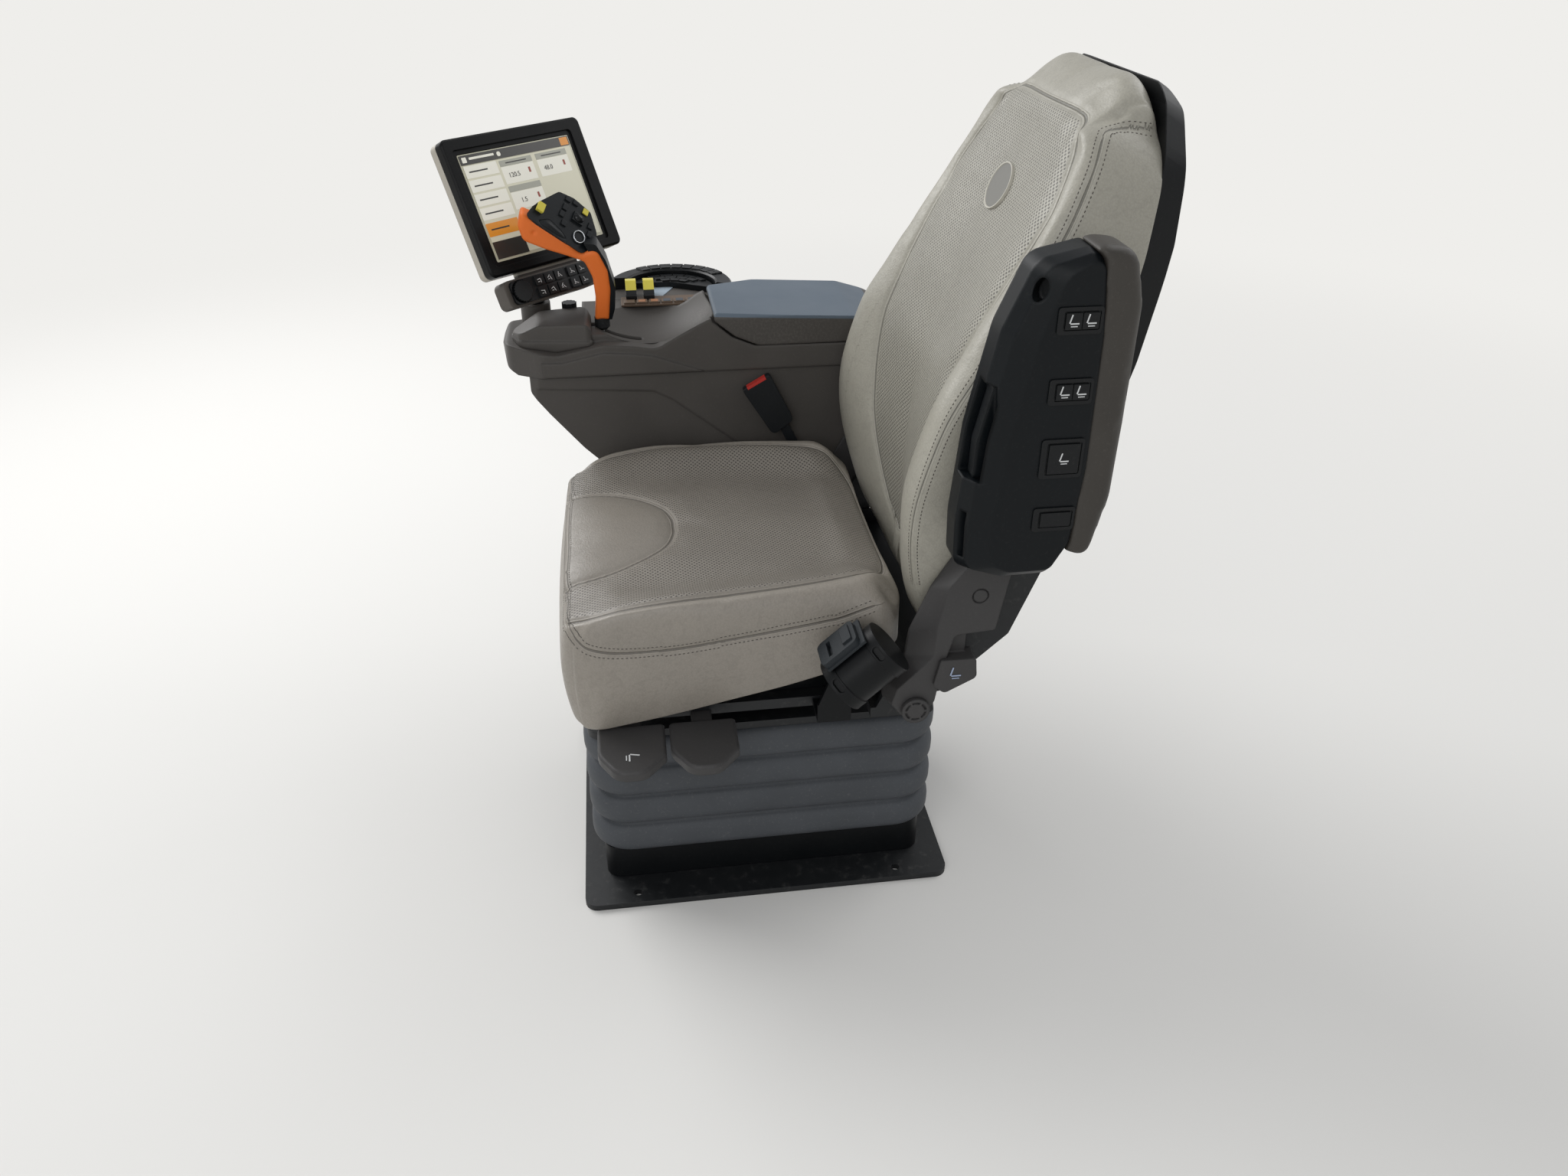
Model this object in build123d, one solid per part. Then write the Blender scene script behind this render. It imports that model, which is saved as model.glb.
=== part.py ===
from build123d import *
from math import cos, radians, sin
import os

# Operator's seat of a harvesting machine, with suspension base, folding
# left armrest, right-hand control console, lever and display.
# Millimetres. The occupant faces -Y, their left is +X, floor is Z = 0.
# The origin lies on the floor under the swivel axis.

os.makedirs("parts", exist_ok=True)

# Base and suspension
plate_w, plate_d, plate_t = 460, 560, 10      # floor plate
bolt_edge_x, bolt_edge_y, bolt_r = 20, 80, 6.5
plinth_h = 60
bellows_w, bellows_d = 380, 524
fold_n, fold_h, fold_depth = 4, 54, 16        # bellows folds
fold_groove = 6                               # half the groove between two folds
top_t = 12                                    # suspension top plate
swivel_r, swivel_h = 120, 24                  # turntable ring
run_gap = 0.5                                 # running clearance
face_gap = 0.3                                # clearance of seated curved faces

# Seat frame and runners
rail_pitch, rail_w, rail_h, rail_len = 300, 40, 24, 420
rail_wall, rail_slot = 4, 14                  # runner section
frame_w, frame_d, frame_h = 440, 430, 16

# All heights below are measured up from the top of the seat frame

# Cushion
cushion_hw = 254                              # half width
cushion_front, cushion_rear = -279, 186
cushion_corner = 46                           # front corners seen from above

# Backrest
lean = 17                                     # degrees from upright
pivot_y, pivot_z = 187, 26                    # recline axis
back_hw = 258
shell_t = 44
arm_t = 6                                     # recliner arms
pin_r, pivot_r = 8, 26

# Belt retractor and buckle on the seat frame
drum_r, drum_len, drum_tilt = 38, 84, 42
drum_off, drum_y, drum_z = 54, 114, 108       # outboard of the cushion, along, up
paddle_out, paddle_w, paddle_t = 124, 90, 14  # adjusting paddles

# Side covers and left armrest
cover_t = 35
cover_clear = 6                               # right cover to console
rest_gap, rest_w = 6, 60
rest_bevel = 27                               # depth of the bevel along the front
rest_pivot_y, rest_pivot_z = 290, 287
rest_pin_r = 9

# Console
console_gap = 17                              # from backrest side to console
console_w = 195                               # width of its main body
console_rear, console_bottom = 345, 117
band_z = 292                                  # joint between lower and upper body
rim_z = 331                                   # body top beside and under the lid
deck_z, lid_top_z = 353, 385
nose_top_z = 373
lid_front, lid_rear = -24, 262
lid_hinge_y, lid_hinge_z, lid_pin_r, lid_ear_r = 279, 339, 6, 11
bin_front, bin_wall, bin_floor_z = 46, 14, 197
console_rail_w, console_rail_h, console_rail_len = 60, 18, 330
carriage_len, carriage_t = 300, 6
lever_x, lever_y, lever_foot_z = 73, -196, 366  # lever foot outboard, along, up
shaft_r, boot_r, lever_lean = 6, 12, 15       # lever shaft, boot, lean inwards
boot_h = 20
grip_half, grip_round = 13, 6                 # half the grip's thickness, its rounded edge
head_depth = 34
post_x, post_y, post_r = 127, -303, 15        # display post
tilt_z = 425                                  # display tilt axis
lug_w, cheek_t = 15, 6                        # tilt lug and its fork
arc_x, arc_y, arc_r = 222, -78, 106           # raised key arc on the pod
arc_band, arc_h = 28, 20

# Display
screen_w, screen_h = 216, 162
bezel_w, bezel_h, bezel_t = 268, 207, 14
housing_t = 32
screen_x, screen_y, screen_z = 125, -288, 544
screen_yaw, screen_pitch = 42.2, 25.1
strip_w, strip_h = 174, 42                    # key strip under the screen

# Worked out from the values above
bolt_pitch_x = plate_w - 2 * bolt_edge_x
bolt_pitch_y = plate_d - 2 * bolt_edge_y
bellows_z = plate_t + plinth_h
top_z = bellows_z + fold_n * fold_h
swivel_z = top_z + top_t + run_gap
rail_z = swivel_z + swivel_h
frame_top = rail_z + rail_h + run_gap + frame_h
arm_x = back_hw + face_gap
cover_x = arm_x + arm_t + face_gap
rest_x = cover_x + cover_t + rest_gap
console_x = back_hw + console_gap


# Solids from outlines. A point may carry its own corner radius as a third number

def outline(points, r=0):
    """Closed face from corner points, each corner rounded."""
    radii = [p[2] if len(p) > 2 else r for p in points]
    flat = [p[:2] for p in points]
    if any(radii):
        return make_face(FilletPolyline(*flat, radius=radii, close=True))
    return make_face(Polyline(*flat, close=True))


def side(points, x0, x1, r=0):
    """Side profile in (y, z), extruded from x0 to x1."""
    return extrude(Plane.YZ.offset(x0) * outline(points, r), x1 - x0)


def side_loft(sections):
    """Straight-sided loft through side profiles, each given as (x, points)."""
    return loft([Plane.YZ.offset(x) * outline(points) for x, points in sections], ruled=True)


def plan(points, z0, z1, r=0):
    """Plan outline in (x, y), extruded from z0 to z1."""
    return extrude(Plane.XY.offset(z0) * outline(points, r), z1 - z0)


def front(points, y0, y1, r=0):
    """Front profile in (x, z), extruded from y0 to y1."""
    return extrude(Plane.XZ.offset(-y1) * outline(points, r), y1 - y0)


def block(x0, x1, y0, y1, z0, z1, r=0):
    """Box between two corners, upright edges rounded by r."""
    b = Pos((x0 + x1) / 2, (y0 + y1) / 2, (z0 + z1) / 2) * Box(x1 - x0, y1 - y0, z1 - z0)
    return fillet(b.edges().filter_by(Axis.Z), r) if r else b


def rod_x(r, x0, x1, y, z):
    """Round bar along X."""
    return Pos((x0 + x1) / 2, y, z) * Rot(0, 90, 0) * Cylinder(r, x1 - x0)


def rod_z(r, x, y, z0, z1):
    """Round bar along Z."""
    return Pos(x, y, (z0 + z1) / 2) * Cylinder(r, z1 - z0)


def mirrored(points):
    """Right half outline plus its mirror image across x = 0."""
    return points + [(-p[0], *p[1:]) for p in reversed(points) if p[0]]


def joined(shapes):
    """All of these solids in one shape."""
    whole = shapes[0]
    for shape in shapes[1:]:
        whole += shape
    return whole


parts = {}


def add(name, shape, place=Pos(0, 0, 0)):
    parts[name] = place * shape


seat_place = Pos(0, 0, frame_top)
back_place = Pos(0, pivot_y, pivot_z + frame_top) * Rot(-lean, 0, 0)
rest_place = Pos(rest_x, 0, frame_top)
console_place = Pos(-console_x, 0, frame_top)


# Base: floor plate, plinth, folded bellows and top plate

def base():
    plate = block(-plate_w / 2, plate_w / 2, -plate_d / 2, plate_d / 2, 0, plate_t, 20)
    for sx in (-1, 1):
        for sy in (-1, 1):
            plate -= rod_z(bolt_r, sx * bolt_pitch_x / 2, sy * bolt_pitch_y / 2, -1, plate_t + 1)
    add("floor_plate", plate)
    pw, pd = bellows_w / 2 - fold_depth, bellows_d / 2 - fold_depth
    add("plinth", block(-pw, pw, -pd, pd, plate_t, bellows_z, 24))

    # Each fold is a round-cornered belly, bevelled above and below
    bw, bd = bellows_w / 2, bellows_d / 2
    folds = []
    for i in range(fold_n):
        z = bellows_z + i * fold_h
        root = block(-pw, pw, -pd, pd, z, z + fold_h, 24)
        belly = block(-bw, bw, -bd, bd, z + fold_groove, z + fold_h - fold_groove, 40)
        belly = chamfer(belly.faces().sort_by(Axis.Z)[-1].edges(), fold_depth * 0.9, fold_depth * 0.8)
        belly = chamfer(belly.faces().sort_by(Axis.Z)[0].edges(), fold_depth * 0.9, fold_depth * 0.8)
        folds.append(root + belly)
    add("suspension_bellows", joined(folds))
    tw, td = bw - fold_depth / 2, bd - fold_depth / 2
    add("suspension_top", block(-tw, tw, -td, td, top_z, top_z + top_t, 24))


# Turntable ring and the two runner rails

def turntable():
    ring = rod_z(swivel_r, 0, 0, swivel_z, swivel_z + swivel_h)
    half_span = (rail_pitch + rail_w) / 2
    ring += block(-half_span, half_span, -90, 90, rail_z - 6, rail_z, 10)
    add("turntable_plate", ring)
    rails = []
    for sx in (-1, 1):
        x = sx * rail_pitch / 2
        channel = block(x - rail_w / 2, x + rail_w / 2, -rail_len / 2, rail_len / 2, rail_z,
                        rail_z + rail_h)
        channel -= block(x - rail_w / 2 + rail_wall, x + rail_w / 2 - rail_wall, -rail_len, rail_len,
                         rail_z + rail_wall, rail_z + rail_h - rail_wall)
        channel -= block(x - rail_slot / 2, x + rail_slot / 2, -rail_len, rail_len,
                         rail_z + rail_wall, rail_z + rail_h + 1)
        rails.append(channel)
    add("slide_rails", joined(rails))


# Seat frame, cushion and what is fixed to the frame

cushion_rows = [
    # y, height at the middle, at the crease, at the crown, at the side seam, underside
    (cushion_front, 140, 138, 136, 122, -8),
    (cushion_front + 22, 160, 152, 152, 126, -6),
    (-200, 166, 172, 176, 119, 3),
    (-110, 163, 181, 185, 124, 20),
    (-20, 159, 183, 187, 135, 36),
    (90, 155, 184, 187, 150, 56),
    (146, 158, 181, 183, 166, 68),
    (cushion_rear, 140, 150, 150, 148, 84),
]


def cushion_body():
    """Crowned block with raised side bolsters, lofted across its width."""
    columns = [(0.35, 1), (0.87, 2), (0.935, 3), (1.0, 4)]     # share of the half width, column
    stations = [(-share, k) for share, k in reversed(columns)] + columns
    sections = []
    for share, k in stations:
        top = [(row[0], row[k]) for row in cushion_rows]
        under = [(row[0], row[5]) for row in reversed(cushion_rows)]
        front_bulge = [(cushion_front - 4, 70)]
        sections.append((share * cushion_hw, top + under + front_bulge))
    hw, y0, y1, c = cushion_hw, cushion_front - 5, cushion_rear, cushion_corner
    outline_above = [(-hw, y1, 50), (-hw, y0, c), (hw, y0, c), (hw, y1, 50)]
    return side_loft(sections) & plan(outline_above, -60, 260)


def seat():
    fw, fd = frame_w / 2, frame_d / 2
    frame = block(-fw, fw, -fd, fd, -frame_h, 0, 12)
    bx1 = arm_x - 1
    bx0 = bx1 - 9
    for sx in (-1, 1):
        ear = side([(pivot_y - 50, -frame_h), (pivot_y + 40, -frame_h), (pivot_y + pivot_r, pivot_z + 10),
                    (pivot_y, pivot_z + pivot_r), (pivot_y - pivot_r, pivot_z + 10)],
                   bx0, bx1, 6)
        foot = block(fw - 20, bx1, pivot_y - 50, min(fd, pivot_y + 28), -frame_h, 0)
        pin_end = cover_x + cover_t if sx > 0 else console_x - cover_clear
        lug = ear + foot + rod_x(pin_r, bx0, pin_end, pivot_y, pivot_z)
        frame += lug if sx > 0 else mirror(lug, Plane.YZ)
    add("seat_frame", frame, seat_place)

    body = cushion_body() - block(-frame_w, frame_w, -fd - 1, cushion_rear + 20, -60, face_gap)
    add("seat_cushion", body, seat_place)

    # Wedge pan between the frame and the sloping underside of the cushion
    pan = side([(-190, 0), (pivot_y - 60, 0), (pivot_y - 60, 72), (-20, 48), (-190, 14)], -fw + 20, fw - 20)
    add("cushion_pan", pan - body, seat_place)

    # Two paddles at the left front, for slide and height
    paddles = []
    half = paddle_w / 2
    for yc in (-190, -190 + paddle_w + 6):
        mid = -frame_h * 0.8
        stem = block(fw - 10, fw + 34, yc - 14, yc + 14, mid - 4, mid + 4)
        blade = plan([(fw + 24, yc - half, 6), (fw + 82, yc - half, 40), (fw + paddle_out, yc - 20, 26),
                      (fw + paddle_out, yc + 16, 20), (fw + 90, yc + half, 10), (fw + 24, yc + half, 6)],
                     mid - paddle_t / 2, mid + paddle_t / 2)
        blade = chamfer(blade.faces().sort_by(Axis.Z)[-1].edges(), 3)
        paddles.append(stem + blade)
    add("adjust_paddles", joined(paddles) - frame, seat_place)

    # Lap belt retractor on the left: drum with end rings and two pockets
    hw = cushion_hw
    drum_place = Pos(hw + drum_off, drum_y, drum_z) * Rot(drum_tilt, 0, 0)
    drum = Cylinder(drum_r - 1.5, drum_len)
    for end in (-1, 1):
        drum += Pos(0, 0, end * (drum_len / 2 - 8)) * Cylinder(drum_r, 16)
        pocket = extrude(Plane.YZ.offset(drum_r - 6) * SlotOverall(20, 9), 12)
        drum -= Pos(0, 0, end * (drum_len / 2 - 9)) * Rot(0, 0, 35) * pocket
    drum = drum_place * Rot(90, 0, 0) * drum
    arm = side([(60, 9), (110, 9), (138, 107), (108, 127), (92, 93)], hw + 5, hw + 11, 4)
    arm += rod_x(14, hw + 5, hw + 30, drum_y, drum_z)
    arm += block(fw - 10, hw + 11, 62, 108, -12, -4)
    arm += block(hw + 5, hw + 11, 62, 108, -12, 17)
    add("belt_retractor", drum + arm - frame, seat_place)

    # Webbing end and the latch plate parked on the drum
    webbing = Pos(-6, 0, drum_r + 2.4) * Box(50, 62, 4)
    tongue = extrude(Plane.XY.offset(drum_r + 4.4) * RectangleRounded(46, 58, 8), 8)
    tongue = Pos(-6, -4, 0) * tongue
    tongue -= Pos(-6, -16, drum_r + 9) * Box(30, 6, 20)
    tongue += Pos(-6, 12, drum_r + 13) * Box(30, 14, 5)
    add("belt_tongue", drum_place * (webbing + tongue), seat_place)

    # Buckle on its stalk, on the right between cushion and console
    bxo, bxi = console_x - cover_clear, hw + 2
    buckle = side([(20, 264, 4), (64, 289, 4), (104, 209, 10), (70, 183, 10)], -bxo, -bxi)
    stalk = side([(80, 197), (94, 203), (128, 137), (128, 3), (112, 3), (112, 129)], -bxi - 8, -bxi - 4, 2)
    tab = block(-bxi - 8, -fw + 8, 106, 134, -13, -5)
    tab += block(-bxi - 8, -bxi - 4, 106, 134, -13, 9)
    add("belt_buckle", buckle + stalk + (tab - frame), seat_place)

    # Outrigger that carries the console rail
    rx = -console_x - console_w / 2
    rz = console_bottom - console_rail_h - carriage_t - run_gap
    arms = []
    for y in (-60, 60):
        arms.append(front([(-fw + 6, -12), (-fw + 6, -2), (rx + 20, -2), (rx + 20, rz), (rx - 20, rz),
                           (rx - 20, -12)], y - 25, y + 25))
    rail = block(rx - console_rail_w / 2, rx + console_rail_w / 2, -console_rail_len / 2,
                 console_rail_len / 2, rz, rz + console_rail_h, 3)
    add("console_rail", rail + (joined(arms) - frame), seat_place)


# Backrest, drawn upright in (x, rearward, up) from the recline axis

back_rows = [
    # height, rearward at the middle, at the crease, at the crown, at the side seam, at the shell
    (48, 30, 30, 26, 26, 56),
    (108, 10, 6, -15, -17, 60),
    (165, -13, -21, -50, -52, 66),
    (216, -30, -46, -76, -76, 72),
    (290, -42, -64, -95, -89, 80),
    (378, -52, -74, -97, -88, 84),
    (506, -44, -60, -68, -54, 86),
    (620, -31, -38, -42, -26, 80),
    (735, -16, -20, -24, -8, 66),
    (778, 6, 6, 8, 18, 60),
    (797, 30, 30, 32, 36, 54),
]


def back_outline():
    """Front view of the backrest, narrower at the head."""
    hw = back_hw
    return outline(mirrored([(hw - 30, 48, 20), (hw - 18, 116, 60), (hw, 176, 40), (hw, 330, 90),
                             (hw - 32, 600, 90), (hw - 58, 722, 60), (hw - 118, 800, 70)]))


def backrest():
    hw = back_hw
    columns = [(0.25, 1), (0.64, 2), (0.84, 3), (1.0, 4)]      # share of the half width, column
    stations = [(-share, k) for share, k in reversed(columns)] + columns
    sections = []
    for share, k in stations:
        face_line = [(row[k], row[0]) for row in back_rows]
        rear_line = [(row[5], row[0]) for row in reversed(back_rows[:-1])]
        sections.append((share * hw, face_line + rear_line))
    pad = side_loft(sections) & extrude(Plane.XZ.offset(-300) * back_outline(), 600)
    add("back_cushion", pad, back_place)

    # Moulded shell behind it, its sides drawn in towards the rear, with a shallow panel recess
    t = shell_t
    shell_side = side([(56, 48), (60, 108), (80, 290), (86, 506), (80, 620), (60, 778), (54, 797),
                       (66, 798, 4), (88, 778, 14), (76 + t, 640, 60), (86 + t, 500, 60),
                       (80 + t, 300, 60), (58 + t, 120, 60), (40 + t, 48, 10)], -hw, hw)
    drawn_in = extrude(Plane.XZ.offset(-50) * back_outline(), -130, taper=14)
    shell = (shell_side & drawn_in) - pad
    recess = side([(t + 68, 170, 10), (t + 76, 300), (t + 82, 500), (t + 72, 640), (t + 64, 700, 10),
                   (t + 120, 700), (t + 120, 170)], -150, 150)
    add("back_shell", shell - recess, back_place)

    arms = []
    for x0 in (arm_x, -arm_x - arm_t):
        arm = side([(-pivot_r, -10), (0, -pivot_r), (pivot_r, -10), (100, 120), (110, 300), (60, 300),
                    (20, 120)], x0, x0 + arm_t, 8)
        arms.append(arm - rod_x(pin_r + face_gap, x0 - 1, x0 + arm_t + 1, 0, 0))
    add("recliner_arms", joined(arms), back_place)
    side_covers()


def side_covers():
    """Moulded covers over the recliner, their front face swept back to a ridge."""
    x0, x1 = cover_x, cover_x + cover_t
    flange = [(240, 252, 4), (206, 196, 30), (180, 130, 30), (176, 92, 16), (150, 54, 8), (148, 30, 8),
              (166, 8, 10), (202, 4, 10), (218, 34, 10), (225, 88, 10), (237, 136, 8), (290, 140, 4),
              (302, 237, 4)]
    ridge = [(250, 248, 4), (220, 210, 30), (210, 154, 30), (208, 106, 16), (162, 60, 8), (155, 36, 8),
             (170, 15, 10), (199, 12, 10), (213, 36, 10), (221, 90, 10), (233, 139, 8), (286, 143, 4),
             (300, 233, 4)]
    left = side_loft([(x0, flange), (x0 + 6, flange), (x1, ridge)])
    left -= rod_x(pin_r + face_gap, x0 - 1, x1 + 1, pivot_y, pivot_z)
    plug = rod_x(11, x1 - 3, x1 + 1, 262, 196) - rod_x(9, x1 - 3, x1 + 1, 262, 196)
    add("side_cover_left", left - plug, seat_place)
    right = side([(152, 37), (166, 9, 12), (200, 1, 12), (214, 21), (212, 87), (240, 147), (296, 237),
                  (246, 253), (206, 197, 30), (172, 137, 30), (170, 67)],
                 -console_x + cover_clear, -cover_x, 6)
    right -= rod_x(pin_r + face_gap, -console_x, -cover_x + 1, pivot_y, pivot_z)
    add("side_cover_right", right, seat_place)

    # Cap over the pivot pin, with a ring of slots broken by ribs
    cap = rod_x(19, x1 + face_gap, x1 + 7, pivot_y, pivot_z)
    groove = rod_x(14.5, x1 + 4, x1 + 8, pivot_y, pivot_z) - rod_x(11.5, x1 + 3, x1 + 9, pivot_y, pivot_z)
    for i in range(3):
        groove -= Pos(x1 + 6, pivot_y, pivot_z) * Rot(60 * i, 0, 0) * Box(6, 40, 3)
    add("pivot_cap", cap - groove, seat_place)

    # Recline paddle below the cover's cut-out, and the dark lever it hangs from
    paddle = side([(208, 64, 8), (224, 52, 8), (266, 74, 8), (263, 104, 4), (216, 104, 4)], x0 + 12, x1 + 6)
    paddle += side([(222, 77), (252, 77), (252, 134), (236, 134), (225, 88)], x0 + 8, x0 + 22)
    add("recline_handle", paddle - left, seat_place)

    # Bracket that carries the armrest hinge
    bracket = side([(250, 233), (330, 233), (326, 313), (306, 319), (262, 305)], x0, x1 - 1, 10)
    bracket -= left
    bracket += rod_x(26, x1 - 2, rest_x - run_gap, rest_pivot_y, rest_pivot_z)
    bracket += rod_x(rest_pin_r, x1 - 2, rest_x + 24, rest_pivot_y, rest_pivot_z)
    add("armrest_bracket", bracket, seat_place)


# Left armrest, raised; drawn from its inner face

rest_line = [
    # along, height, corner radius, then how far in the outer face's edge lies
    (336, 648, 12, 0, -4), (271, 634, 26, 27, -14), (240, 560, 60, 36, -8), (216, 440, 80, 38, -2),
    (207, 330, 60, 38, 2), (209, 270, 16, 36, 12), (262, 255, 20, 8, 14), (320, 257, 12, 0, 12),
    (341, 300, 20, -2, 4), (347, 400, 30, 0, 0), (345, 560, 30, 0, 0),
]


def rest_outline(share):
    """Side outline of the housing, from its full size (0) to its outer face (1)."""
    return [(y + share * dy, z + share * dz, r) for y, z, r, dy, dz in rest_line]


def armrest():
    w = rest_w
    whole = rest_outline(0)
    body = side_loft([(0, whole), (w - rest_bevel, whole), (w - rest_bevel / 3, rest_outline(0.3)),
                      (w, rest_outline(1))])
    body -= rod_x(rest_pin_r + face_gap, -1, 25, rest_pivot_y, rest_pivot_z)
    # Hand recess on the underside with its bar, the slot below it and the oval hole above
    recess = side([(190, 385), (246, 385), (238, 499), (190, 499)], 12, w - 8)
    body -= recess
    bar = side([(221, 388), (240, 385), (246, 499), (236, 496), (222, 430)], 20, w - 20)
    body += bar & recess
    body -= side([(190, 285), (230, 285), (230, 345), (190, 345)], w - 24, w - 14)
    bevel_out = Plane(origin=(w - 12, 274, 606), x_dir=(0, 0.3, 1), z_dir=(0.8, -0.6, 0.18))
    body -= bevel_out * extrude(Ellipse(13, 8), 20, both=True)
    add("armrest_housing", body, rest_place)

    # Padded skin along the upper side, rounded over its ends
    pad_full = [(326, 648), (336, 652, 4), (372, 648, 26), (386, 590, 60), (384, 360, 60), (366, 280, 12),
                (340, 290, 4), (326, 300)]
    pad_end = [(326, 644), (336, 646, 3), (364, 642, 22), (378, 590, 60), (376, 360, 60), (361, 287, 10),
               (340, 295, 3), (326, 304)]
    pad = side_loft([(-3, pad_end), (6, pad_full), (w - 6, pad_full), (w + 3, pad_end)])
    add("armrest_pad", pad - side([*whole], -10, w + 10), rest_place)

    # Rocker switches in their raised frames, on the outer face
    rockers = [
        # height of the frame's middle, frame height, rockers
        (575, 30, 2), (495, 30, 2), (415, 48, 1), (338, 30, 1),
    ]
    switches = []
    for zc, h, count in rockers:
        rim = extrude(Plane.YZ.offset(w - 1) * Pos(316, zc) * RectangleRounded(50, h, 4), 3)
        rim -= extrude(Plane.YZ.offset(w + 0.5) * Pos(318, zc) * RectangleRounded(40, h - 9, 2), 4)
        for i in range(count):
            yc = 318 + (i - (count - 1) / 2) * 19
            half = 9 if count > 1 else 18
            low, high = zc - h / 2 + 6, zc + h / 2 - 6
            rim += side([(yc - half, low), (yc + half, low), (yc + half, high), (yc - half, high)],
                        w + 0.5, w + 3.2, 1)
        switches.append(rim)
    add("armrest_switches", joined(switches) - body, rest_place)


# Console, drawn with x = 0 at its inner face and outboard as -x

def console():
    w = console_w
    rx = -w / 2
    z0 = console_bottom
    half_rail = console_rail_w / 2
    carriage = block(rx - half_rail - carriage_t - run_gap, rx + half_rail + carriage_t + run_gap,
                     -carriage_len / 2, carriage_len / 2, z0 - carriage_t, z0)
    for sx in (-1, 1):
        cheek = rx + sx * (half_rail + run_gap + carriage_t / 2)
        carriage += block(cheek - carriage_t / 2, cheek + carriage_t / 2, -carriage_len / 2,
                          carriage_len / 2, z0 - 22, z0)
    add("console_carriage", carriage, console_place)

    nose = plan([(0, console_rear, 12), (0, -296, 30), (-32, -348, 22), (-84, -358, 60), (-146, -350, 30),
                 (-184, -306, 30), (-w, -236, 40), (-w, console_rear, 12)], z0 - 1, 440)
    low_in = 4
    lower = side([(-316, band_z), (-316, 266, 14), (-289, 229, 40), (-240, 168, 30), (-190, z0, 20),
                  (console_rear - 10, z0, 10), (console_rear - 10, band_z)], -w + low_in, -low_in)
    # Inboard side: panel below the second crease lies a little deeper
    lower -= side([(-340, 276), (-122, 262, 20), (-92, 246, 20), (30, 150), (30, z0 - 1), (-340, z0 - 1)],
                  -low_in - 3, 1)
    cavity = block(-w + bin_wall, -bin_wall, bin_front, lid_hinge_y - 34, bin_floor_z, 440, 12)
    add("console_base", (lower & nose) - cavity, console_place)
    console_top(w, nose, cavity)
    controls(w)
    lever()


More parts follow.
